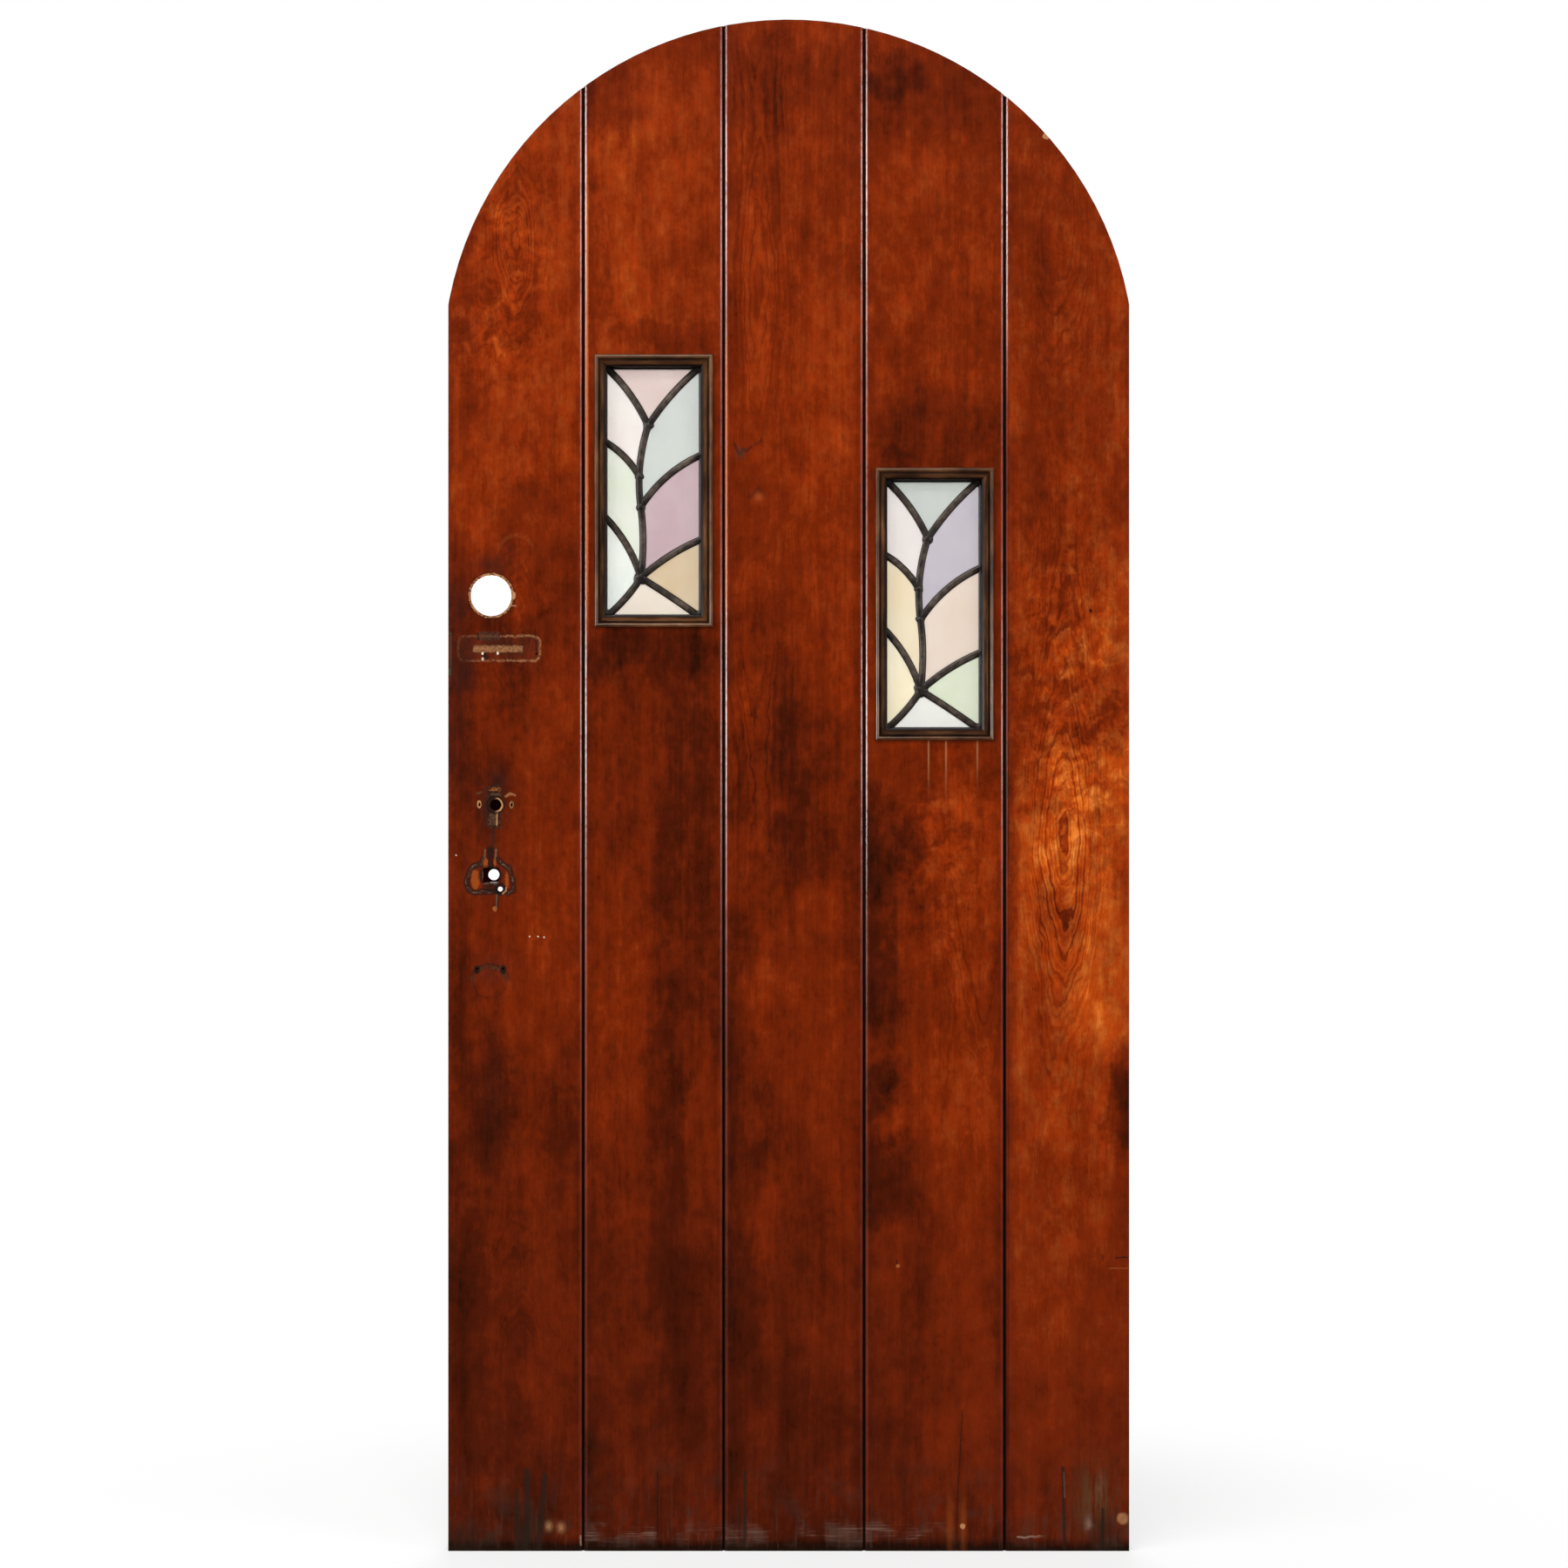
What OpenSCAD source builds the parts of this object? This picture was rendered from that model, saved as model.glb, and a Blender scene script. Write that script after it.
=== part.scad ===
// Arched plank door leaf with two leaded lights, hung on its right-hand edge.
// Millimetres. +X is the hinge side, -Y is the face that the photo shows, +Z is up.
// The origin is at the middle of the bottom edge, half way through the leaf.

/* [Leaf] */
// Width over the two side edges
leaf_w = 902; // [840:1:960]
// Height to the crown of the arch
leaf_h = 2028; // [1980:1:2120]
// Thickness of the planks
leaf_t = 44.5; // [40:0.5:50]
// How much the arch's radius is over half the width
arch_over = 7; // [1:1:120]
// Rounding of the two side edges
edge_arris_r = 1.5; // [1:0.1:2.5]

/* [Planks] */
// Face width of the plank that carries the lock
lock_plank_w = 179; // [172:1:186]
// Face width of the plank that carries the hinges
hinge_plank_w = 165; // [150:1:180]
// Rounded arris on both sides of every joint
arris_r = 5.5; // [3:0.5:7]
// Thickness of the tongue
tongue_t = 12; // [8:0.5:13]
// Length of the tongue
tongue_l = 11; // [6:0.5:12]
// Room beside the tongue on each face
tongue_side_gap = 0.15; // [0.1:0.05:0.4]
// Room at the end of the tongue
tongue_end_gap = 0.6; // [0.4:0.1:1.2]

/* [Lights] */
// Height of the middle of the upper light, on the second plank
upper_light_z = 1404; // [1360:1:1440]
// Height of the middle of the lower light, on the fourth plank
lower_light_z = 1254; // [1200:1:1300]
// Plank that shows between a light's beads and the joint
light_margin = 14.5; // [10:0.5:24]
// Clear height between the beads
sight_h = 330; // [300:1:360]

/* [Glazing beads] */
// Overall width of a bead, seen from the front
bead_w = 15.5; // [14.5:0.5:18]
// Part of that width that goes into the opening
bead_leg_w = 8.5; // [7.5:0.5:9]
// Thickness of the lip that laps onto the face
lip_t = 3; // [2.5:0.5:4]
// Radius of the small roll along the outer edge
roll_r = 2.7; // [2.2:0.1:2.8]
// Radius of the hollow that leads down to the glass
cove_r = 12.5; // [11:0.5:13]
// How far the hollow's centre lies inside the clear opening
cove_in = 4; // [3.5:0.5:6]
// Height of the hollow's centre above the face
cove_up = 7.5; // [7:0.5:9]

/* [Brads] */
// Radius of a brad
brad_r = 0.7; // [0.5:0.1:0.9]
// Length of a brad
brad_l = 19; // [16:0.5:21]
// Radius of its head
brad_head_r = 1.1; // [1:0.1:1.4]
// Thickness of its head
brad_head_t = 0.8; // [0.6:0.1:1.2]
// Depth of the brads below the face of the planks
brad_depth = 12.5; // [11.5:0.5:14]
// Distance of the end brads from the end of an upright bead's clear edge
brad_end_tall = 50; // [30:1:70]
// Distance of the brads from the end of a level bead's clear edge
brad_end_wide = 28; // [20:1:34]
// Room around a brad
brad_gap = 0.05; // [0.02:0.01:0.1]

/* [Leaded panels] */
// Room between the panel and the sides of its opening
panel_gap = 1; // [0.5:0.1:1.5]
// Width of the lead strips
came_w = 9; // [7:0.5:10]
// Thickness of the lead strips
came_t = 6; // [5:0.5:7]
// Thickness of the web between two panes
heart_w = 1.8; // [1.2:0.1:2.4]
// Thickness of the glass, which the lead grips on both faces
glass_t = 3; // [2.5:0.1:3.5]
// Room between a pane and the web
glass_gap = 0.4; // [0.2:0.1:0.8]
// Radius of the solder at a joint
solder_r = 5.8; // [5:0.1:7]
// How far the solder stands above the lead
solder_up = 0.5; // [0.2:0.1:1]

/* [Lock side holes] */
// Distance of the deadbolt bore from the edge
deadbolt_backset = 57; // [54:1:64]
// Height of the deadbolt bore
deadbolt_z = 1265; // [1240:1:1300]
// Radius of the deadbolt bore
deadbolt_r = 27; // [25:0.5:28]
// Radius of the bolt hole in the edge
bolt_r = 12.7; // [11:0.1:13]
// Distance of the key cylinder hole from the edge
cylinder_backset = 62.5; // [58:0.5:66]
// Height of the key cylinder hole above the spindle
key_rise = 93; // [86:1:100]
// Radius of the key cylinder hole
cylinder_r = 7.5; // [6:0.5:9]
// Distance of the spindle hole from the edge
spindle_backset = 60; // [56:0.5:64]
// Height of the spindle hole
spindle_z = 895; // [890:1:900]
// Radius of the spindle hole in the far wall
spindle_r = 7.25; // [6:0.25:8]
// Width of the chopped-out mouth in the near wall
mouth_w = 22; // [20:0.5:24]
// Height of that mouth
mouth_h = 19.5; // [18:0.5:22]
// How far the mouth sits towards the edge from the spindle
mouth_off = 3.2; // [2:0.1:4]
// Distance of the handle bolt hole from the spindle, across
handle_bolt_x = 9; // [8:0.5:12]
// Distance of the handle bolt hole below the spindle
handle_bolt_drop = 18.5; // [17:0.5:20]
// Radius of the handle bolt hole
handle_bolt_r = 3.25; // [2.5:0.25:4]

/* [Lock mortise] */
// Thickness of the pocket
mortise_t = 20; // [16:0.5:22]
// Depth of the pocket from the edge
mortise_d = 96; // [90:1:105]
// How far the pocket runs below the spindle
mortise_below = 37; // [34:1:50]
// How far the pocket runs above the key cylinder
mortise_above = 42; // [36:1:60]
// Width of the shallow seat for the lock's front plate
front_plate_w = 26; // [24:0.5:30]
// How far that seat runs past the pocket at each end
front_plate_past = 16; // [12:1:24]
// Depth of that seat
front_plate_t = 3; // [2:0.5:4]

/* [Screw holes] */
// Radius of the old screw holes
screw_r = 1.5; // [1:0.1:2]
// Depth of the old screw holes
screw_d = 10; // [6:0.5:10.5]
// Step between the two screws of the key escutcheon
escutcheon_step = 42.5; // [38:0.5:46]
// Step between the two screws of the chain track
chain_step = 69; // [60:1:80]
// Distance of the chain track's middle from the edge
chain_backset = 82.5; // [78:0.5:90]
// Height of the chain track's screws
chain_z = 1188; // [1180:1:1200]
// Step between the two screws of the lower plate
plate_step = 35; // [30:0.5:40]
// Distance of the lower plate's middle from the edge
plate_backset = 55.5; // [50:0.5:60]
// Height of the lower plate's screws
plate_z = 771; // [760:1:780]

/* [Edge chip] */
// Height of the middle of the chip in the lock edge
chip_z = 1191; // [1180:1:1200]
// Length of the chip
chip_h = 44; // [30:1:60]
// How far the chip eats into the face
chip_w = 4.5; // [2:0.5:6]

/* [Hinge gains] */
// Height of the bottom hinge
hinge_z = 330; // [300:1:360]
// Step from one hinge to the next
hinge_step = 585; // [560:1:600]
// Height of a hinge leaf
gain_h = 102; // [96:1:110]
// Width of a hinge leaf on the edge, from the far face
gain_w = 38; // [32:0.5:39]
// Depth of the gain
gain_d = 3.2; // [2.5:0.1:4]
// Radius of the hinge screw pilot holes
pilot_r = 1.8; // [1.5:0.1:2.5]
// Depth of the pilot holes
pilot_d = 30; // [20:1:40]
// Step between the two screws furthest apart
pilot_far_step = 78; // [74:1:82]
// Step between the two screws nearest together
pilot_near_step = 26; // [22:1:32]
// Distance of the far screws from the far face
pilot_far_in = 27; // [25:0.5:29]
// Distance of the near screws from the far face
pilot_near_in = 12; // [10:0.5:14]

/* [Hidden] */
$fn = 96;
eps = 0.5;
arc_steps = 16;
stem_branch = 10;

left_x = -leaf_w / 2;
right_x = leaf_w / 2;
front_y = -leaf_t / 2;
back_y = leaf_t / 2;
inner_plank_w = (leaf_w - lock_plank_w - hinge_plank_w) / 3;
joint_1 = left_x + lock_plank_w;
joint_2 = joint_1 + inner_plank_w;
joint_3 = joint_2 + inner_plank_w;
joint_4 = joint_3 + inner_plank_w;
arch_r = leaf_w / 2 + arch_over;
arch_z = leaf_h - arch_r;
spring_z = arch_z + sqrt(arch_r * arch_r - leaf_w * leaf_w / 4);

upper_at = [(joint_1 + joint_2) / 2, 0, upper_light_z];
lower_at = [(joint_3 + joint_4) / 2, 0, lower_light_z];
sight_w = inner_plank_w - 2 * (light_margin + bead_w);
opening_w = sight_w + 2 * bead_leg_w;
opening_h = sight_h + 2 * bead_leg_w;
panel_w = opening_w - 2 * panel_gap;
panel_h = opening_h - 2 * panel_gap;
bead_leg_d = (leaf_t - came_t) / 2;

front = 0;
back = 1;
right_side = 0;
top_side = 1;
left_side = 2;
bottom_side = 3;

deadbolt_x = left_x + deadbolt_backset;
cylinder_x = left_x + cylinder_backset;
cylinder_z = spindle_z + key_rise;
mortise_z = spindle_z - mortise_below;
mortise_h = key_rise + mortise_below + mortise_above;
spindle_x = left_x + spindle_backset;
chain_x = left_x + chain_backset;
plate_x = left_x + plate_backset;

wood = [0.45, 0.17, 0.07];
dark_wood = [0.24, 0.11, 0.06];
lead = [0.24, 0.23, 0.22];
steel = [0.45, 0.44, 0.42];

// Which node to draw

// Extrudes a shape drawn in X and Z through the thickness, from one Y to another.
module through(y_from, y_to) {
  translate([0, y_to, 0])
    rotate([90, 0, 0])
      linear_extrude(y_to - y_from)
        children();
}

// A round hole along Y.
module hole_y(x, z, r, y_from, y_to) {
  translate([x, y_from, z])
    rotate([-90, 0, 0])
      cylinder(r = r, h = y_to - y_from);
}

// The leaf's outline: straight sides with an arc of one radius over them.
module leaf_outline() {
  translate([left_x, 0])
    square([leaf_w, spring_z]);
  intersection() {
    translate([0, arch_z])
      circle(r = arch_r);
    translate([left_x, spring_z - eps])
      square([leaf_w, leaf_h - spring_z + 2 * eps]);
  }
}

// What is cut from a square corner at the origin, which points to -X and -Y, to round it.
module corner_cut(r) {
  difference() {
    translate([-eps, -eps])
      square(r + eps);
    translate([r, r])
      circle(r = r);
  }
}

// A plank's section: its faces, its four rounded corners, a groove on the left and a tongue on the right.
module plank_section(x_left, x_right, r_left, r_right, grooved, tongued) {
  groove_t = tongue_t + 2 * tongue_side_gap;
  difference() {
    translate([x_left, front_y])
      square([x_right - x_left, leaf_t]);
    for (far = [0, 1]) {
      mirror([0, far])
        translate([x_left, front_y])
          corner_cut(r_left);
      mirror([0, far])
        translate([x_right, front_y])
          mirror([1, 0])
            corner_cut(r_right);
    }
    if (grooved)
      translate([x_left - eps, -groove_t / 2])
        square([tongue_l + tongue_end_gap + eps, groove_t]);
  }
  if (tongued)
    translate([x_right - eps, -tongue_t / 2])
      square([tongue_l + eps, tongue_t]);
}

// A plank from the floor to the arch.
module plank(x_left, x_right, r_left, r_right, grooved, tongued) {
  intersection() {
    linear_extrude(leaf_h)
      plank_section(x_left, x_right, r_left, r_right, grooved, tongued);
    through(front_y - eps, back_y + eps)
      leaf_outline();
  }
}

// A plank with the opening for a light and the holes of its brads.
module light_plank(x_left, x_right, at) {
  difference() {
    plank(x_left, x_right, arris_r, arris_r, true, true);
    translate(at)
      through(front_y - eps, back_y + eps)
        square([opening_w, opening_h], center = true);
    translate(at)
      light_brads(brad_gap);
  }
}

// Half the clear size that a bead on this side is away from the middle, and half its length.
function reach(side) = (side == right_side || side == left_side) ? sight_w / 2 : sight_h / 2;
function half_run(side) = (side == right_side || side == left_side) ? sight_h / 2 : sight_w / 2;

// Turns a right-hand bead to its own side, and to the far face for a back bead.
module on_side(face, side) {
  mirror([0, face, 0])
    rotate([0, -90 * side, 0])
      children();
}

// The bead's section: X runs out from the clear opening, Y stands out from the face.
module bead_section() {
  difference() {
    union() {
      translate([0, -bead_leg_d])
        square([bead_leg_w, bead_leg_d + lip_t]);
      translate([bead_leg_w - eps, 0])
        square([bead_w - bead_leg_w + eps, lip_t]);
      translate([bead_w - roll_r, lip_t])
        circle(r = roll_r);
    }
    translate([-cove_in, cove_up])
      circle(r = cove_r);
  }
}

// One bead with mitred ends, in the place of a right-hand front bead.
module bead_stick(side) {
  run = half_run(side);
  translate([reach(side), 0, 0])
    intersection() {
      translate([0, front_y, -run - bead_w])
        linear_extrude(2 * (run + bead_w))
          mirror([0, 1])
            bead_section();
      through(front_y - roll_r - lip_t - eps, 0)
        polygon([[0, -run], [bead_w, -run - bead_w], [bead_w, run + bead_w], [0, run]]);
    }
}

// The brads of one bead, in the place of a right-hand front bead.
module side_brads(side, gap) {
  tall = side == right_side || side == left_side;
  far = half_run(side) - (tall ? brad_end_tall : brad_end_wide);
  spots = tall ? [-far, 0, far] : [-far, far];
  for (z = spots)
    translate([reach(side), front_y + brad_depth, z])
      rotate([0, 90, 0]) {
        cylinder(r = brad_head_r + gap, h = brad_head_t + gap);
        cylinder(r = brad_r + gap, h = brad_l + gap);
      }
}

// All the brads of one light, on both faces.
module light_brads(gap) {
  for (face = [front, back])
    for (side = [right_side, top_side, left_side, bottom_side])
      on_side(face, side)
        side_brads(side, gap);
}

// A finished bead in its place.
module bead(at, face, side) {
  translate(at)
    on_side(face, side)
      difference() {
        bead_stick(side);
        side_brads(side, brad_gap);
      }
}

// The panel's drawing: a point given as shares of half its width and half its height.
function spot(across, up) = [across * panel_w / 2, up * panel_h / 2];

// Points along an arc from p to q. It bulges to the left of that way by a share of the distance.
function arc_half(bulge) = 2 * atan(2 * abs(bulge));
function arc_point(p, q, bulge, grow, t) =
  let(
    chord = norm(q - p),
    along = (q - p) / chord,
    side = [-along[1], along[0]] * sign(bulge),
    half = arc_half(bulge),
    r = chord / (2 * sin(half)),
    mid = (p + q) / 2 - side * r * cos(half)
  )
  mid + (along * sin(t * half) + side * cos(t * half)) * (r + grow);
function arc(p, q, bulge, from = 0, to = arc_steps) =
  [for (i = [from:to]) arc_point(p, q, bulge, 0, 2 * i / arc_steps - 1)];
function backwards(list) = [for (i = [len(list) - 1:-1:0]) list[i]];

// A strip of one width along an arc, a little longer than the arc at both ends.
module strip(line, w) {
  p = line[0];
  q = line[1];
  bulge = line[2];
  past = 1 + w / norm(q - p);
  ends = [for (i = [0:arc_steps]) past * (2 * i / arc_steps - 1)];
  outer = [for (t = ends) arc_point(p, q, bulge, w / 2, t)];
  inner = [for (t = ends) arc_point(p, q, bulge, -w / 2, t)];
  polygon(concat(outer, backwards(inner)));
}

// The stem of the drawing and the leaves that grow from it to the border.
top_left = spot(-1, 1);
top_right = spot(1, 1);
foot_left = spot(-1, -1);
foot_right = spot(1, -1);
fork = spot(-0.096, 0.51);
knee = spot(-0.234, -0.116);
root = spot(-0.233, -0.661);
stem_upper = [fork, knee, -0.057];
stem_lower = [knee, root, 0.032];
node_on_stem = arc(stem_upper[0], stem_upper[1], stem_upper[2])[stem_branch];
leaf_a = [top_left, fork, 0.058];
leaf_b = [top_right, fork, -0.042];
leaf_c = [spot(-1, 0.406), node_on_stem, 0.075];
leaf_d = [spot(1, 0.301), knee, -0.08];
leaf_e = [spot(-1, -0.157), root, 0.068];
leaf_f = [spot(1, -0.351), root, -0.046];
leaf_g = [root, foot_left, 0.045];
leaf_h_line = [root, foot_right, 0.011];
lead_lines = [
  stem_upper, stem_lower, leaf_a, leaf_b, leaf_c, leaf_d, leaf_e, leaf_f, leaf_g, leaf_h_line
];
solder_spots = [fork, node_on_stem, knee, root];

function run_of(line, from = 0, to = arc_steps) = arc(line[0], line[1], line[2], from, to);

// The outlines of the panes on the middle lines of the lead.
outline_crown = concat(run_of(leaf_a), backwards(run_of(leaf_b)));
outline_high_left = concat(
  run_of(leaf_a), run_of(stem_upper, 1, stem_branch - 1), backwards(run_of(leaf_c)));
outline_high_right = concat(
  run_of(leaf_b), run_of(stem_upper, 1, arc_steps - 1), backwards(run_of(leaf_d)));
outline_mid_left = concat(
  run_of(leaf_c), run_of(stem_upper, stem_branch + 1), run_of(stem_lower, 1, arc_steps - 1),
  backwards(run_of(leaf_e)));
outline_mid_right = concat(
  run_of(leaf_d), run_of(stem_lower, 1, arc_steps - 1), backwards(run_of(leaf_f)));
outline_low_left = concat(run_of(leaf_e), run_of(leaf_g, 1));
outline_low_right = concat(run_of(leaf_f), run_of(leaf_h_line, 1));
outline_foot = concat(backwards(run_of(leaf_g)), run_of(leaf_h_line, 1));

// The lead's border with this much width inside the panel's edge.
module border(w) {
  difference() {
    square([panel_w, panel_h], center = true);
    square([panel_w - 2 * w, panel_h - 2 * w], center = true);
  }
}

// The lead drawing as seen from the front, with these widths for its strips and its border.
module lead_drawing(strip_w, border_w) {
  border(border_w);
  intersection() {
    square([panel_w, panel_h], center = true);
    for (line = lead_lines)
      strip(line, strip_w);
  }
}

// The soldered net of lead: a wide leaf on each face, with a thin web between the panes.
module lead_net(at) {
  translate(at) {
    through(-came_t / 2, -glass_t / 2)
      lead_drawing(came_w, came_w);
    through(-glass_t / 2 - eps, glass_t / 2 + eps)
      lead_drawing(heart_w, heart_w);
    through(glass_t / 2, came_t / 2)
      lead_drawing(came_w, came_w);
    for (p = solder_spots) {
      hole_y(p[0], p[1], solder_r, -came_t / 2 - solder_up, -glass_t / 2);
      hole_y(p[0], p[1], solder_r, glass_t / 2, came_t / 2 + solder_up);
    }
  }
}

// One pane, cut back from the webs around it.
module pane(at, outline) {
  translate(at)
    through(-glass_t / 2, glass_t / 2)
      difference() {
        polygon(outline);
        border(heart_w + glass_gap);
        for (line = lead_lines)
          strip(line, heart_w + 2 * glass_gap);
      }
}

// The old screw holes of the chain track, the key escutcheon and the lower plate.
module old_screw_holes() {
  for (side = [-1, 1]) {
    hole_y(chain_x + side * chain_step / 2, chain_z, screw_r, front_y - eps, front_y + screw_d);
    hole_y(cylinder_x + side * escutcheon_step / 2, cylinder_z, screw_r, front_y - eps, front_y + screw_d);
    hole_y(plate_x + side * plate_step / 2, plate_z, screw_r, front_y - eps, front_y + screw_d);
  }
}

// The pocket for the mortise lock, with the shallow seat of its front plate.
module lock_mortise() {
  translate([left_x - eps, -mortise_t / 2, mortise_z])
    cube([mortise_d + eps, mortise_t, mortise_h]);
  translate([left_x - eps, -front_plate_w / 2, mortise_z - front_plate_past])
    cube([front_plate_t + eps, front_plate_w, mortise_h + 2 * front_plate_past]);
}

// The holes that the lock, the handle and the deadbolt left behind.
module lock_holes() {
  hole_y(deadbolt_x, deadbolt_z, deadbolt_r, front_y - eps, back_y + eps);
  translate([left_x - eps, 0, deadbolt_z])
    rotate([0, 90, 0])
      cylinder(r = bolt_r, h = deadbolt_backset + eps);
  hole_y(cylinder_x, cylinder_z, cylinder_r, front_y - eps, 0);
  hole_y(spindle_x, spindle_z, spindle_r, 0, back_y + eps);
  translate([spindle_x - mouth_off - mouth_w / 2, front_y - eps, spindle_z - mouth_h / 2])
    cube([mouth_w, leaf_t / 2 + eps, mouth_h]);
  hole_y(
    spindle_x + handle_bolt_x, spindle_z - handle_bolt_drop, handle_bolt_r,
    front_y - eps, back_y + eps);
}

// The chip that is broken out of the lock edge.
module edge_chip() {
  translate([left_x, front_y, chip_z])
    rotate([0, 0, 45])
      cube([chip_w * sqrt(2), chip_w * sqrt(2), chip_h], center = true);
}

// The gains for the hinges, let into the edge from the far face, with their screw pilots.
module hinge_gains() {
  for (i = [0:2]) {
    z = hinge_z + i * hinge_step;
    translate([right_x - gain_d, back_y - gain_w, z - gain_h / 2])
      cube([gain_d + eps, gain_w + eps, gain_h]);
    for (side = [-1, 1]) {
      pilot(back_y - pilot_far_in, z + side * pilot_far_step / 2);
      pilot(back_y - pilot_near_in, z + side * pilot_near_step / 2);
    }
  }
}

module pilot(y, z) {
  translate([right_x - gain_d - pilot_d, y, z])
    rotate([0, 90, 0])
      cylinder(r = pilot_r, h = pilot_d + eps);
}

// The five planks.
module lock_plank() {
  color(wood)
    difference() {
      plank(left_x, joint_1, edge_arris_r, arris_r, false, true);
      lock_mortise();
      lock_holes();
      old_screw_holes();
      edge_chip();
    }
}

module upper_light_plank() {
  color(wood)
    light_plank(joint_1, joint_2, upper_at);
}

module middle_plank() {
  color(wood)
    plank(joint_2, joint_3, arris_r, arris_r, true, true);
}

module lower_light_plank() {
  color(wood)
    light_plank(joint_3, joint_4, lower_at);
}

module hinge_plank() {
  color(wood)
    difference() {
      plank(joint_4, right_x, arris_r, edge_arris_r, true, false);
      hinge_gains();
    }
}

// The beads of the upper light.
module upper_front_bead_top() { color(dark_wood) bead(upper_at, front, top_side); }
module upper_front_bead_bottom() { color(dark_wood) bead(upper_at, front, bottom_side); }
module upper_front_bead_left() { color(dark_wood) bead(upper_at, front, left_side); }
module upper_front_bead_right() { color(dark_wood) bead(upper_at, front, right_side); }
module upper_back_bead_top() { color(dark_wood) bead(upper_at, back, top_side); }
module upper_back_bead_bottom() { color(dark_wood) bead(upper_at, back, bottom_side); }
module upper_back_bead_left() { color(dark_wood) bead(upper_at, back, left_side); }
module upper_back_bead_right() { color(dark_wood) bead(upper_at, back, right_side); }

// The beads of the lower light.
module lower_front_bead_top() { color(dark_wood) bead(lower_at, front, top_side); }
module lower_front_bead_bottom() { color(dark_wood) bead(lower_at, front, bottom_side); }
module lower_front_bead_left() { color(dark_wood) bead(lower_at, front, left_side); }
module lower_front_bead_right() { color(dark_wood) bead(lower_at, front, right_side); }
module lower_back_bead_top() { color(dark_wood) bead(lower_at, back, top_side); }
module lower_back_bead_bottom() { color(dark_wood) bead(lower_at, back, bottom_side); }
module lower_back_bead_left() { color(dark_wood) bead(lower_at, back, left_side); }
module lower_back_bead_right() { color(dark_wood) bead(lower_at, back, right_side); }

// The lead of the two panels.
module upper_lead_came() { color(lead) lead_net(upper_at); }
module lower_lead_came() { color(lead) lead_net(lower_at); }

// The panes of the upper light.
module upper_pane_crown() { color([0.88, 0.8, 0.78]) pane(upper_at, outline_crown); }
module upper_pane_high_left() { color([0.9, 0.88, 0.86]) pane(upper_at, outline_high_left); }
module upper_pane_high_right() { color([0.83, 0.85, 0.84]) pane(upper_at, outline_high_right); }
module upper_pane_mid_left() { color([0.87, 0.9, 0.82]) pane(upper_at, outline_mid_left); }
module upper_pane_mid_right() { color([0.8, 0.7, 0.72]) pane(upper_at, outline_mid_right); }
module upper_pane_low_left() { color([0.89, 0.91, 0.9]) pane(upper_at, outline_low_left); }
module upper_pane_low_right() { color([0.87, 0.78, 0.63]) pane(upper_at, outline_low_right); }
module upper_pane_foot() { color([0.92, 0.86, 0.8]) pane(upper_at, outline_foot); }

// The panes of the lower light.
module lower_pane_crown() { color([0.78, 0.83, 0.8]) pane(lower_at, outline_crown); }
module lower_pane_high_left() { color([0.9, 0.88, 0.86]) pane(lower_at, outline_high_left); }
module lower_pane_high_right() { color([0.81, 0.78, 0.82]) pane(lower_at, outline_high_right); }
module lower_pane_mid_left() { color([0.9, 0.85, 0.69]) pane(lower_at, outline_mid_left); }
module lower_pane_mid_right() { color([0.91, 0.85, 0.8]) pane(lower_at, outline_mid_right); }
module lower_pane_low_left() { color([0.92, 0.88, 0.76]) pane(lower_at, outline_low_left); }
module lower_pane_low_right() { color([0.86, 0.88, 0.79]) pane(lower_at, outline_low_right); }
module lower_pane_foot() { color([0.89, 0.91, 0.9]) pane(lower_at, outline_foot); }

// The brads that pin all the beads.
module bead_brads() {
  color(steel) {
    translate(upper_at)
      light_brads(0);
    translate(lower_at)
      light_brads(0);
  }
}

lock_plank();
upper_light_plank();
middle_plank();
lower_light_plank();
hinge_plank();
upper_front_bead_top();
upper_front_bead_bottom();
upper_front_bead_left();
upper_front_bead_right();
upper_back_bead_top();
upper_back_bead_bottom();
upper_back_bead_left();
upper_back_bead_right();
lower_front_bead_top();
lower_front_bead_bottom();
lower_front_bead_left();
lower_front_bead_right();
lower_back_bead_top();
lower_back_bead_bottom();
lower_back_bead_left();
lower_back_bead_right();
upper_lead_came();
lower_lead_came();
upper_pane_crown();
upper_pane_high_left();
upper_pane_high_right();
upper_pane_mid_left();
upper_pane_mid_right();
upper_pane_low_left();
upper_pane_low_right();
upper_pane_foot();
lower_pane_crown();
lower_pane_high_left();
lower_pane_high_right();
lower_pane_mid_left();
lower_pane_mid_right();
lower_pane_low_left();
lower_pane_low_right();
lower_pane_foot();
bead_brads();
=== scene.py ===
import math
from collections import namedtuple

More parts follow.
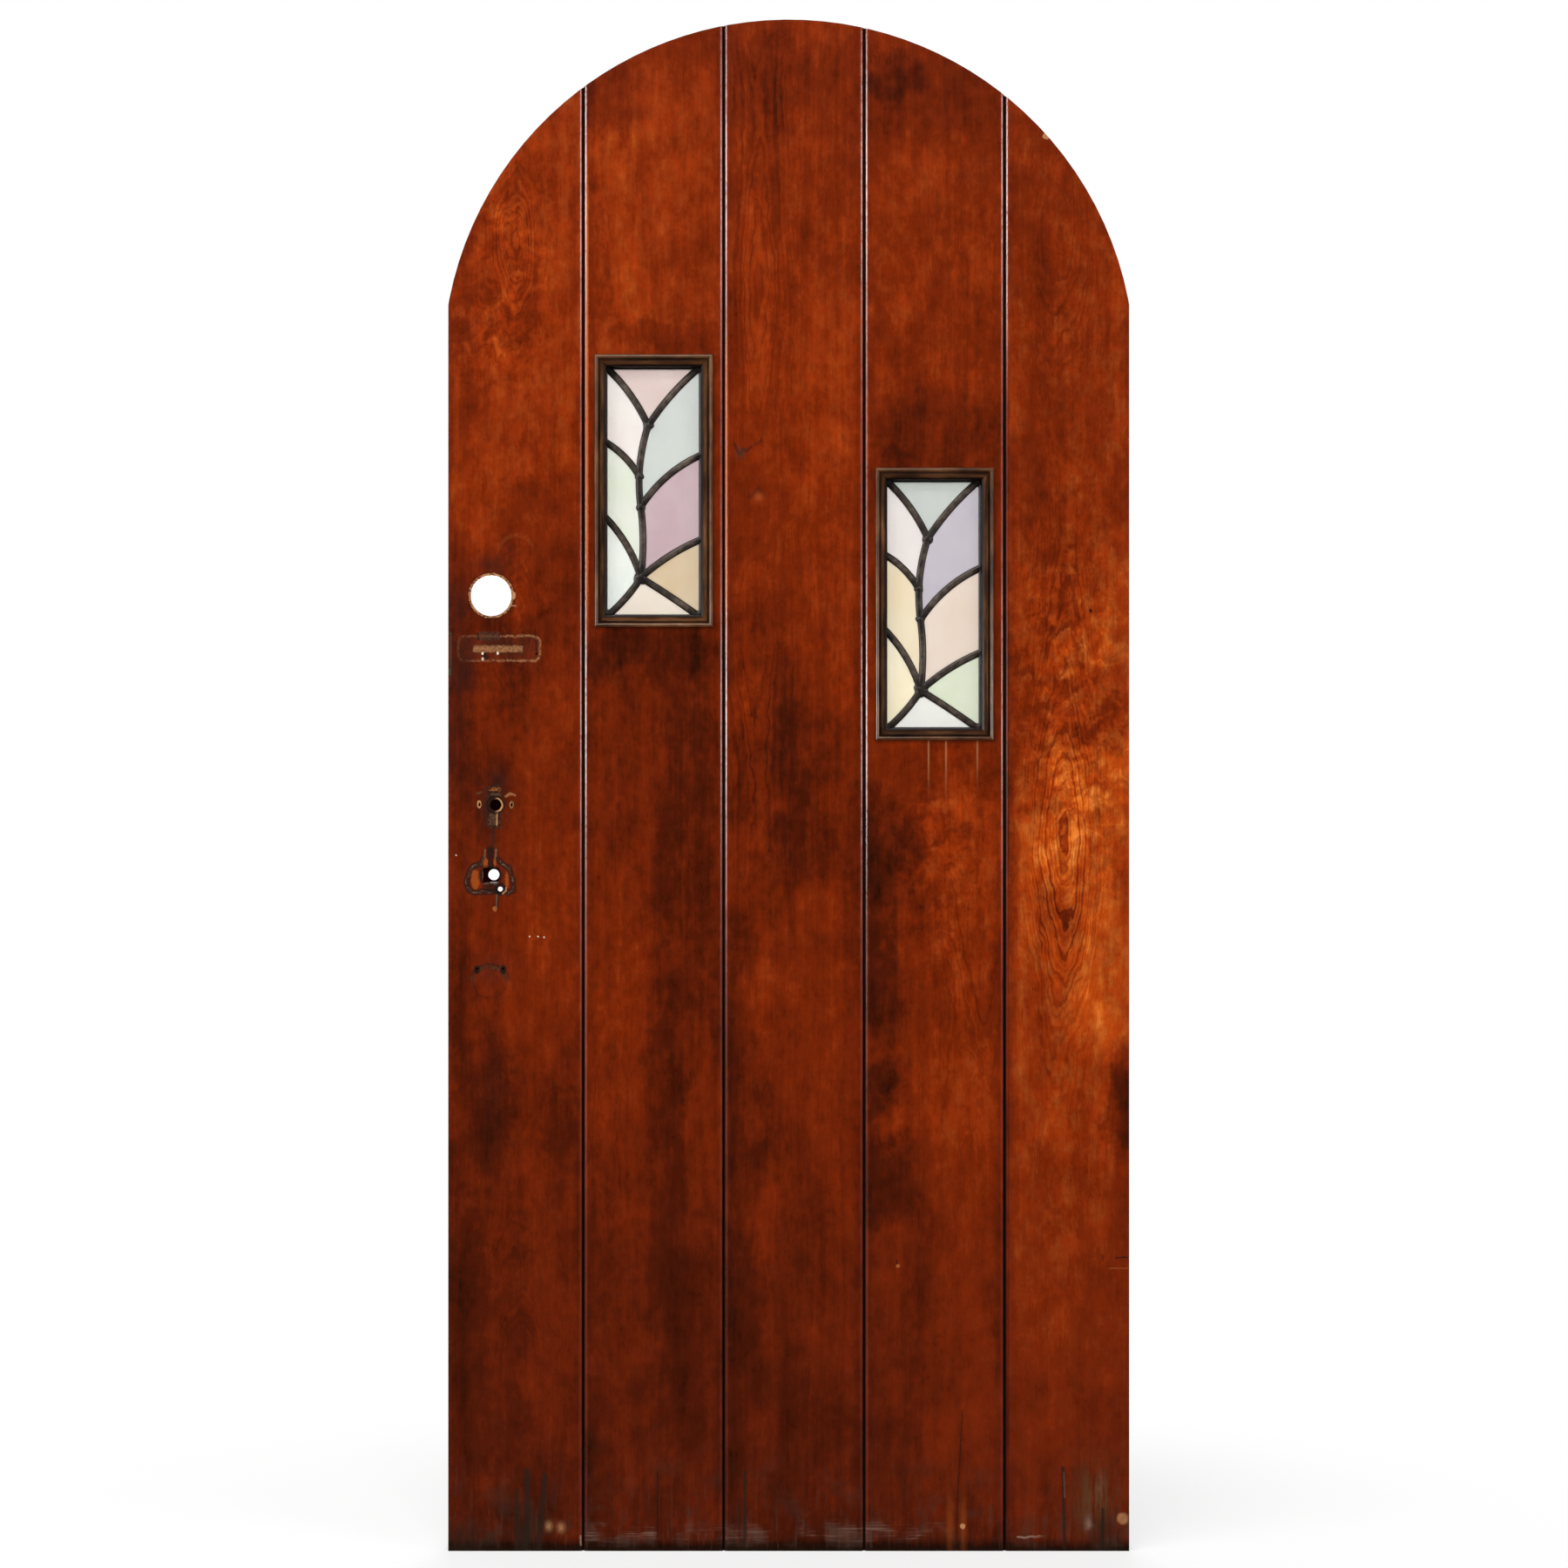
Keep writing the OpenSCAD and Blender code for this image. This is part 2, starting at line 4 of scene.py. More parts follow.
import bpy
import numpy as np
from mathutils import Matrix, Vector


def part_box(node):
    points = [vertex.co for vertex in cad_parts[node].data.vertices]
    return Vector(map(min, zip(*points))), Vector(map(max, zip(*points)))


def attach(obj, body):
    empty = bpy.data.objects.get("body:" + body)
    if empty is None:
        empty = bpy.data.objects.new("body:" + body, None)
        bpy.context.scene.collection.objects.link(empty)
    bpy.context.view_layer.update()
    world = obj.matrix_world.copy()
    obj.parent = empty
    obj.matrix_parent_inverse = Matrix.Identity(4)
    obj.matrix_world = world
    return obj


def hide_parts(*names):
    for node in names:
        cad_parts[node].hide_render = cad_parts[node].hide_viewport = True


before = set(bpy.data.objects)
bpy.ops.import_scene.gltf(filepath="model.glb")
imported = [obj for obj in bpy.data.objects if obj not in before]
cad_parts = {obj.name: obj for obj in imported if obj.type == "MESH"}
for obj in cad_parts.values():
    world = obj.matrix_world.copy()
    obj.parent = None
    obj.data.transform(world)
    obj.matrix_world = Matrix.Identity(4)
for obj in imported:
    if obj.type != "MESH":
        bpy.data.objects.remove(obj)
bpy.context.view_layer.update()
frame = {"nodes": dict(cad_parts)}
nodes = frame["nodes"]

# Sizes of the leaf, in metres, as the part's source gives them
LEAF_T = 0.0445
FRONT_Y = -LEAF_T / 2
JOINTS = (-0.272, -0.086, 0.1, 0.286)
ARRIS_R = 0.0055
UPPER_LIGHT = (-0.179, 1.404)
LOWER_LIGHT = (0.193, 1.254)
PANEL_W = 0.141
PANEL_H = 0.345
CAME_W = 0.01
CAME_T = 0.006
BEAD_LIP = 0.003


def srgb(red, green, blue):
    """A colour as seen on a screen, 0 to 255, turned into the linear values that a shader takes."""
    part = np.array([red, green, blue]) / 255.0
    linear = np.where(part <= 0.04045, part / 12.92, ((part + 0.055) / 1.055) ** 2.4)
    return (*linear.tolist(), 1.0)


def operator(kind, reflected=False):
    """An operator between a socket and a number or another socket."""
    if reflected:
        return lambda self, other: self.nodes.math(kind, other, self)
    return lambda self, other: self.nodes.math(kind, self, other)


class Value:
    """A shader socket that can be added, multiplied and compared like a number."""

    def __init__(self, nodes, socket):
        self.nodes = nodes
        self.socket = socket

    __add__ = operator("ADD")
    __radd__ = operator("ADD", True)
    __sub__ = operator("SUBTRACT")
    __rsub__ = operator("SUBTRACT", True)
    __mul__ = operator("MULTIPLY")
    __rmul__ = operator("MULTIPLY", True)
    __truediv__ = operator("DIVIDE")
    __rtruediv__ = operator("DIVIDE", True)
    __pow__ = operator("POWER")
    __rpow__ = operator("POWER", True)
    least = operator("MINIMUM")
    most = operator("MAXIMUM")

    def __neg__(self):
        return self * -1.0

    def __abs__(self):
        return self.nodes.math("ABSOLUTE", self)

    def clamp(self):
        return self.most(0.0).least(1.0)


class NodeTree:
    """The node tree of a material or of the surround, emptied and built again."""

    def __init__(self, tree):
        self.tree = tree
        tree.nodes.clear()

    def node(self, kind, settings=None, sockets=None):
        """Adds any node, with its settings and its input sockets."""
        made = self.tree.nodes.new(kind)
        for key, value in (settings or {}).items():
            setattr(made, key, value)
        for key, value in (sockets or {}).items():
            self.feed(made.inputs[key], value)
        return made

    def feed(self, socket, value):
        """Links a socket to a value, or sets it."""
        if isinstance(value, Value):
            self.tree.links.new(value.socket, socket)
        else:
            socket.default_value = value

    def value(self, kind, settings=None, sockets=None, output=0):
        """Adds any node and gives what comes out of it."""
        return Value(self, self.node(kind, settings, sockets).outputs[output])

    def math(self, kind, first, second=0.0):
        """Maths on numbers."""
        return self.value("ShaderNodeMath", {"operation": kind}, {0: first, 1: second})

    def vector(self, kind, *inputs):
        """Maths on points. A product or a distance gives a number."""
        output = "Value" if kind in ("DOT_PRODUCT", "DISTANCE") else "Vector"
        return self.value("ShaderNodeVectorMath", {"operation": kind}, dict(enumerate(inputs)), output)

    def scaled(self, point, share):
        """A point times a number."""
        sockets = {0: point, "Scale": share}
        return self.value("ShaderNodeVectorMath", {"operation": "SCALE"}, sockets, "Vector")

    def point(self, x, y, z):
        """A point from three numbers."""
        return self.value("ShaderNodeCombineXYZ", None, {0: x, 1: y, 2: z})

    def noise(self, x, y, z, detail=2.0, rough=0.5):
        """Noise with about one bump a unit, about 0.5 on average."""
        sockets = {"Vector": self.point(x, y, z), "Scale": 1.0, "Detail": detail, "Roughness": rough}
        return self.value("ShaderNodeTexNoise", None, sockets)

    def noise_line(self, at, detail=2.0, rough=0.5):
        """Noise that varies along one number only."""
        sockets = {"W": at, "Scale": 1.0, "Detail": detail, "Roughness": rough}
        return self.value("ShaderNodeTexNoise", {"noise_dimensions": "1D"}, sockets)

    def step(self, value, low, high):
        """0 below low and 1 above high, smooth between them. high may be the lower one."""
        sockets = {"Value": value, "From Min": low, "From Max": high}
        return self.value("ShaderNodeMapRange", {"interpolation_type": "SMOOTHSTEP"}, sockets)

    def mix(self, share, first, second):
        """One colour over another."""
        return self.value("ShaderNodeMix", {"data_type": "RGBA"}, {0: share, 6: first, 7: second}, 2)

    def tones(self, value, stops):
        """A colour from a list of (place, colour)."""
        made = self.node("ShaderNodeValToRGB", None, {0: value})
        ramp = made.color_ramp
        while len(ramp.elements) < len(stops):
            ramp.elements.new(0.5)
        for element, (at, colour) in zip(ramp.elements, stops):
            element.position = at
            element.color = colour
        return Value(self, made.outputs[0])

    def bump(self, height, distance, strength=1.0):
        """A normal that leans with a height."""
        sockets = {"Height": height, "Distance": distance, "Strength": strength}
        return self.value("ShaderNodeBump", None, sockets)

    def blend(self, share, first, second):
        """One shader over another."""
        made = self.node("ShaderNodeMixShader", None, {0: share})
        self.tree.links.new(first.outputs[0], made.inputs[1])
        self.tree.links.new(second.outputs[0], made.inputs[2])
        return made


class Paint(NodeTree):
    """One material, built from a Principled shader."""

    def __init__(self, name):
        self.material = bpy.data.materials.new(name)
        self.material.use_nodes = True
        super().__init__(self.material.node_tree)
        self.shader = self.node("ShaderNodeBsdfPrincipled")
        self.surface = self.node("ShaderNodeOutputMaterial").inputs["Surface"]
        self.tree.links.new(self.shader.outputs[0], self.surface)

    def place(self):
        """The point's x, y and z in the leaf's own frame."""
        coords = self.value("ShaderNodeTexCoord", output="Object")
        split = self.node("ShaderNodeSeparateXYZ", None, {0: coords})
        return [Value(self, split.outputs[i]) for i in range(3)]

    def finish(self, shader):
        """Shows another shader in place of the Principled one."""
        self.tree.links.new(shader.outputs[0], self.surface)
        self.tree.nodes.remove(self.shader)

    def give(self, **sockets):
        """Sets the Principled shader's sockets, with _ for a space in their names."""
        for key, value in sockets.items():
            self.feed(self.shader.inputs[key.replace("_", " ")], value)


class Marks:
    """Spots, bars and rings on the front face, with slightly ragged edges."""

    def __init__(self, paint, seed):
        self.paint = paint
        self.x, self.y, self.z = paint.place()
        drift_x = paint.noise(self.x * 26.0 + seed, self.y * 20.0, self.z * 22.0, 5.0, 0.68)
        drift_z = paint.noise(self.x * 30.0, self.y * 20.0 + seed, self.z * 18.0, 5.0, 0.68)
        self.drifted = paint.point(
            self.x + (drift_x - 0.5) * 0.06, 0.0, self.z + (drift_z - 0.5) * 0.11
        )
        shake = paint.noise(self.x * 420.0, self.y * 420.0, self.z * 420.0, 2.0)
        slow = paint.noise(self.x * 120.0, 0.0, self.z * 120.0, 2.0)
        self.ragged_x = self.x + (shake - 0.5) * 0.0025
        self.ragged_z = self.z + (slow - 0.5) * 0.0045
        self.front = paint.step(self.y, FRONT_Y + 0.0022, FRONT_Y + 0.0012)
        self.own_x = self.x + seed
        self.flat = paint.point(self.x, 0.0, self.z)
        self.ragged = paint.point(self.ragged_x, 0.0, self.ragged_z)

    def noise(self, across, deep, along, detail=2.0, rough=0.5):
        """Noise with so many bumps a metre each way, other on each plank."""
        return self.paint.noise(self.own_x * across, self.y * deep, self.z * along, detail, rough)

    def past_oval(self, at, x, z, half_w, half_h):
        """0 in the middle of an ellipse, 1 on its rim and more outside, growing with the square."""
        stretch = (1 / half_w, 0.0, 1 / half_h)
        away = self.paint.vector("MULTIPLY_ADD", at, stretch, (-x / half_w, 0.0, -z / half_h))
        return self.paint.vector("DOT_PRODUCT", away, away)

    def spot(self, x, z, half_w, half_h, soft=0.3):
        """1 inside an ellipse, fading at its rim over a share of its size."""
        far = self.past_oval(self.ragged, x, z, half_w, half_h)
        return self.paint.step(far, 1.0 + soft, max(0.0, 1.0 - soft))

    def cloud(self, x, z, half_w, half_h):
        """A soft patch, highest in its middle."""
        return (1 / math.e) ** self.past_oval(self.flat, x, z, half_w, half_h)

    def stain(self, x, z, half_w, half_h):
        """A patch with a drifting, flame-like rim."""
        return self.paint.step(self.past_oval(self.drifted, x, z, half_w, half_h), 1.9, 0.1)

    def past_bar(self, low_x, high_x, low_z, high_z, corner):
        """How far a point is outside an upright box with rounded corners."""
        past_x = abs(self.ragged_x - (low_x + high_x) / 2) - ((high_x - low_x) / 2 - corner)
        past_z = abs(self.ragged_z - (low_z + high_z) / 2) - ((high_z - low_z) / 2 - corner)
        outside = (past_x.most(0.0) ** 2.0 + past_z.most(0.0) ** 2.0) ** 0.5
        return outside + past_x.most(past_z).least(0.0) - corner

    def bar(self, low_x, high_x, low_z, high_z, soft=0.0012, corner=0.0004):
        """1 inside an upright box."""
        return self.paint.step(self.past_bar(low_x, high_x, low_z, high_z, corner), soft, -soft)

    def outline(self, low_x, high_x, low_z, high_z, corner, wide):
        """1 on a line along the rim of an upright box."""
        past = self.past_bar(low_x, high_x, low_z, high_z, corner)
        return self.paint.step(abs(past), wide * 0.7, wide * 0.25)

    def line(self, wide, *points):
        """1 on a line of this width through some points."""
        nearest = 1.0
        for (x0, z0), (x1, z1) in zip(points, points[1:]):
            run = (x1 - x0, 0.0, z1 - z0)
            pace = tuple(part / (run[0] ** 2 + run[2] ** 2) for part in run)
            away = self.paint.vector("SUBTRACT", self.ragged, (x0, 0.0, z0))
            share = self.paint.vector("DOT_PRODUCT", away, pace).clamp()
            far = self.paint.vector("DISTANCE", away, self.paint.scaled(run, share))
            nearest = far.least(nearest)
        return self.paint.step(nearest, wide * 0.7, wide * 0.25)

    def ring(self, x, z, radius, wide):
        """1 on a band of this width along a circle."""
        away = self.paint.vector("DISTANCE", self.ragged, (x, 0.0, z)) - radius
        return self.paint.step(abs(away), wide * 0.7, wide * 0.25)


# The stain: its tone at the foot of the leaf, how deep its clouds are (two of them painted shadows above the
# lights' beads) and how far a figure spreads
BASE_TONE = 0.264
CLOUD_DEPTH = 1.14
ARCH_HALF_W = 0.04

# The tones of the stained wood, from the darkest blotches to the bright glow: red-brown and golden
WOOD_TONES = (
    (0.0, srgb(30, 8, 1)),
    (0.22, srgb(70, 18, 2)),
    (0.45, srgb(106, 30, 2)),
    (0.65, srgb(137, 44, 5)),
    (0.82, srgb(165, 62, 9)),
    (1.0, srgb(208, 104, 30)),
)
GOLD_TONES = (
    (0.0, srgb(36, 18, 10)),
    (0.22, srgb(76, 34, 14)),
    (0.45, srgb(112, 50, 18)),
    (0.65, srgb(144, 68, 22)),
    (0.82, srgb(174, 88, 28)),
    (1.0, srgb(216, 132, 58)),
)


# How one plank was sawn and how the stain took on it
Plank = namedtuple(
    "Plank",
    "node seed heart ovals lean lines arches curls clouds glow gold dull",
    defaults=(None,),
)

# heart: x and depth of the pith line; ovals: height of one oval and step to the next;
# lean: how steeply the rings run out along the plank; lines: ring lines in a metre;
# arches: (height, half height, strength) of the places where the rings show;
# curls: (x, z, half width, half height) of wavy grain;
# clouds: (x, z, half width, half height, lighter or darker), mostly stain, while the dark one just above
# each light's top bead is a painted shadow;
# glow: how bright the plank is overall; gold: how golden its stain is;
# dull: the height below which its arris has no gloss left
PLANKS = (
    Plank(
        node="lock_plank", seed=3.1,
        heart=(-0.362, -0.01), ovals=(1.735, 0.5), lean=0.34, lines=420,
        arches=(
            (1.735, 0.09, 0.5),
            (1.25, 0.1, 0.25),
            (0.4, 0.2, 0.15),
        ),
        curls=(
            (-0.366, 1.737, 0.06, 0.11),
            (-0.39, 1.6, 0.06, 0.06),
        ),
        clouds=(
            (-0.345, 1.6, 0.1, 0.3, 0.07), (-0.395, 0.595, 0.028, 0.1, -0.11),
            (-0.4, 1.12, 0.05, 0.16, -0.12), (-0.34, 0.8, 0.05, 0.1, 0.04),
            (-0.375, 0.2, 0.09, 0.16, -0.03), (-0.448, 1.0, 0.03, 1.2, -0.09),
            (-0.33, 1.27, 0.07, 0.14, -0.12), (-0.3, 0.57, 0.02, 0.09, -0.09),
            (-0.385, 0.83, 0.025, 0.045, -0.1), (-0.43, 1.38, 0.03, 0.05, 0.1),
            (-0.345, 1.43, 0.03, 0.04, -0.1), (-0.344, 1.264, 0.02, 0.03, 0.13),
            (-0.41, 1.09, 0.04, 0.05, 0.1), (-0.425, 0.33, 0.025, 0.15, -0.08),
            (-0.31, 0.22, 0.04, 0.1, 0.07), (-0.345, 0.05, 0.05, 0.03, -0.08),
            (-0.345, 1.44, 0.06, 0.025, 0.08), (-0.41, 1.67, 0.03, 0.08, -0.05),
        ),
        glow=0.0, gold=0.5,
    ),
    Plank(
        node="upper_light_plank", seed=11.7,
        heart=(-0.24, 0.045), ovals=(0.3, 1.3), lean=0.1, lines=420,
        arches=(
            (1.7, 0.15, 0.15),
            (0.6, 0.2, 0.15),
        ),
        curls=(),
        clouds=(
            (-0.17, 1.78, 0.1, 0.18, 0.06), (-0.13, 0.75, 0.05, 0.45, -0.1),
            (-0.225, 0.78, 0.06, 0.1, 0.04), (-0.21, 1.0, 0.055, 0.25, -0.05),
            (-0.245, 1.19, 0.03, 0.04, -0.14), (-0.245, 1.93, 0.045, 0.06, -0.12),
            (-0.112, 0.42, 0.03, 0.22, 0.11), (-0.165, 1.195, 0.08, 0.04, -0.12),
            # the dark cloud at 1.61, just above this light's top bead, is a painted shadow
            (-0.12, 0.32, 0.06, 0.16, -0.05), (-0.165, 1.61, 0.07, 0.022, -0.13),
            (-0.125, 1.08, 0.03, 0.12, -0.08), (-0.225, 0.22, 0.04, 0.1, 0.05),
            (-0.12, 0.66, 0.02, 0.06, 0.07), (-0.24, 1.84, 0.022, 0.04, 0.09),
        ),
        glow=-0.02, gold=0.45,
    ),
    Plank(
        node="middle_plank", seed=23.9,
        heart=(-0.042, -0.013), ovals=(1.655, 0.46), lean=0.15, lines=260,
        arches=(
            (1.7, 0.2, 0.45),
            (1.92, 0.06, 0.4),
            (1.09, 0.15, 0.5),
            (0.55, 0.2, 0.15),
        ),
        curls=(),
        clouds=(
            (0.01, 1.5, 0.07, 0.22, 0.05), (-0.068, 0.335, 0.036, 0.08, -0.14),
            (0.05, 0.935, 0.07, 0.05, -0.1), (0.03, 0.7, 0.08, 0.1, 0.03),
            (0.0, 1.95, 0.09, 0.06, -0.06), (-0.025, 1.03, 0.045, 0.16, -0.11),
            (-0.02, 1.35, 0.04, 0.2, -0.04), (0.02, 1.06, 0.04, 0.07, -0.09),
            (-0.06, 0.62, 0.03, 0.2, -0.11), (0.065, 0.51, 0.025, 0.08, 0.08),
            (0.065, 0.745, 0.02, 0.05, 0.07), (0.065, 1.148, 0.02, 0.04, 0.07),
            (-0.05, 1.12, 0.03, 0.05, 0.07), (-0.05, 0.45, 0.03, 0.12, 0.06),
            (0.065, 1.88, 0.025, 0.08, -0.05),
        ),
        glow=-0.02, gold=0.45,
    ),
    Plank(
        node="lower_light_plank", seed=37.3,
        heart=(0.245, 0.03), ovals=(1.02, 0.9), lean=0.16, lines=380,
        arches=(
            (0.8, 0.28, 0.4),
            (1.65, 0.15, 0.15),
        ),
        curls=(
            (0.2, 0.92, 0.08, 0.12),
        ),
        clouds=(
            (0.12, 0.935, 0.045, 0.07, -0.22), (0.112, 0.6, 0.035, 0.03, -0.14),
            (0.13, 0.74, 0.03, 0.06, -0.08), (0.225, 0.21, 0.045, 0.15, 0.1),
            (0.19, 1.55, 0.1, 0.12, -0.04), (0.118, 0.49, 0.05, 0.06, -0.16),
            (0.11, 0.8, 0.035, 0.11, -0.14), (0.235, 0.88, 0.05, 0.15, 0.1),
            (0.24, 0.56, 0.05, 0.15, 0.08), (0.195, 1.48, 0.08, 0.06, -0.14),
            (0.215, 1.015, 0.07, 0.05, 0.05), (0.195, 1.94, 0.11, 0.07, -0.12),
            # the dark cloud at 1.44, just above this light's top bead, is a painted shadow
            (0.133, 1.956, 0.04, 0.03, -0.13), (0.135, 1.44, 0.03, 0.03, -0.11),
            (0.133, 0.572, 0.02, 0.03, 0.13), (0.133, 0.629, 0.025, 0.025, -0.1),
            (0.255, 0.42, 0.025, 0.2, 0.05), (0.2, 0.6, 0.06, 0.07, 0.06),
            (0.25, 1.83, 0.03, 0.07, -0.07),
        ),
        glow=0.0, gold=0.5,
    ),
    Plank(
        node="hinge_plank", seed=51.5,
        heart=(0.364, -0.014), ovals=(0.955, 0.8), lean=0.24, lines=380,
        arches=(
            (0.88, 0.13, 1.35),
            (1.04, 0.08, 0.55),
            (1.24, 0.14, 0.55),
            (1.66, 0.16, 0.3),
            (0.6, 0.15, 0.25),
        ),
        curls=(
            (0.365, 1.2, 0.09, 0.16),
            (0.39, 0.99, 0.09, 0.15),
        ),
        clouds=(
            (0.395, 0.985, 0.085, 0.13, 0.17), (0.316, 0.9, 0.02, 0.12, 0.1),
            (0.372, 0.86, 0.035, 0.05, -0.08), (0.41, 1.18, 0.045, 0.06, 0.11),
            (0.37, 1.5, 0.08, 0.18, -0.06), (0.36, 0.24, 0.09, 0.11, 0.08),
            (0.43, 0.78, 0.05, 0.11, 0.2), (0.44, 1.065, 0.03, 0.05, 0.12),
            (0.442, 0.585, 0.026, 0.05, -0.2), (0.35, 0.76, 0.07, 0.2, 0.14),
            (0.42, 1.26, 0.05, 0.07, 0.1), (0.35, 0.4, 0.09, 0.16, 0.08),
            (0.33, 1.8, 0.1, 0.15, -0.09), (0.317, 1.4, 0.025, 0.06, -0.1),
            (0.387, 1.39, 0.03, 0.06, 0.08), (0.425, 1.09, 0.025, 0.03, -0.16),
            (0.345, 1.15, 0.035, 0.04, 0.1), (0.425, 0.975, 0.025, 0.04, 0.1),
            (0.365, 0.86, 0.04, 0.03, -0.07), (0.405, 0.69, 0.04, 0.05, 0.1),
            (0.422, 0.57, 0.018, 0.05, 0.08), (0.4, 1.68, 0.04, 0.14, 0.05),
            (0.385, 0.53, 0.05, 0.12, 0.06), (0.355, 1.206, 0.07, 0.03, 0.06),
            (0.425, 1.35, 0.02, 0.06, -0.06),
        ),
        glow=0.05, gold=0.8, dull=1.58,
    ),
)


def ring_figure(paint, plank, marks, grain):
    """The light and dark of the rings, and of wavy grain, where the plank shows them.

    A point's ring is its distance from the pith, where the distance along the plank counts a little
    too, so that the rings close into long ovals. Noise along the grain makes them ragged.
    """
    heart_x, heart_y = plank.heart
    oval_z, oval_step = plank.ovals
    sway = marks.noise(16.0, 9.0, 3.2)
    curl = marks.noise(60.0, 60.0, 42.0)
    run = paint.math("SINE", (marks.z - oval_z) * (math.pi / oval_step)) * (oval_step / math.pi)
    away = ((marks.x - heart_x) ** 2.0 + (marks.y - heart_y) ** 2.0 + (run * plank.lean) ** 2.0) ** 0.5
    ring = away + (sway - 0.5) * 0.042 + (grain - 0.5) * 0.003 + (curl - 0.5) * 0.007
    bands = paint.noise_line(ring * plank.lines + plank.seed, 1.0, 0.5)
    wide_bands = paint.noise_line(ring * 46.0 + plank.seed * 3.0, 2.0, 0.5)
    shown = 0.06
    for arch_z, half_h, strength in plank.arches:
        shown = shown + marks.cloud(heart_x, arch_z, ARCH_HALF_W, half_h) * strength
    lines = paint.step(bands, 0.56, 0.38)
    figure = (0.35 - lines) * shown * 0.26 + (wide_bands - 0.5) * 0.11
    if plank.curls:
        wavy_x = marks.own_x * 46.0 + curl
        wavy_z = marks.z * 54.0 + curl * 2.0
        waves = paint.noise(wavy_x, marks.y * 30.0, wavy_z, 4.0, 0.66) - 0.5
        for curl_x, curl_z, half_w, half_h in plank.curls:
            figure = figure + marks.cloud(curl_x, curl_z, half_w, half_h) * waves * 0.9
    return figure


# A joint nearer than this to a plank's middle is one of its own
PLANK_REACH = 0.12


def joint_wear(paint, plank, marks):
    """Three masks, in this order: dirt in the joints and along the floor; the arrises, which the caller
    paints a little lighter, partly as rubbed wear and partly as a painted highlight; and the bottom of each
    groove, where the caller paints shade.
    """
    dirt = paint.step(marks.z, 0.02, 0.002) * 0.3
    by_face = paint.step(abs(marks.y), LEAF_T / 2 - ARRIS_R - 0.003, LEAF_T / 2 - ARRIS_R)
    arris = 0.0
    shaded_core = 0.0
    for joint in JOINTS:
        if abs(joint - node_middle(plank.node)) < PLANK_REACH:
            aside = abs(marks.x - joint)
            dirt = dirt + paint.step(aside, 0.022, 0.006) * 0.05
            # the bottom of the groove, where a painted shade goes; it also loses its gloss
            shaded_core = shaded_core + paint.step(aside, 0.0024, 0.0012)
            arris = arris + paint.step(aside, 0.0064, 0.0048) * by_face
    return dirt, arris, shaded_core


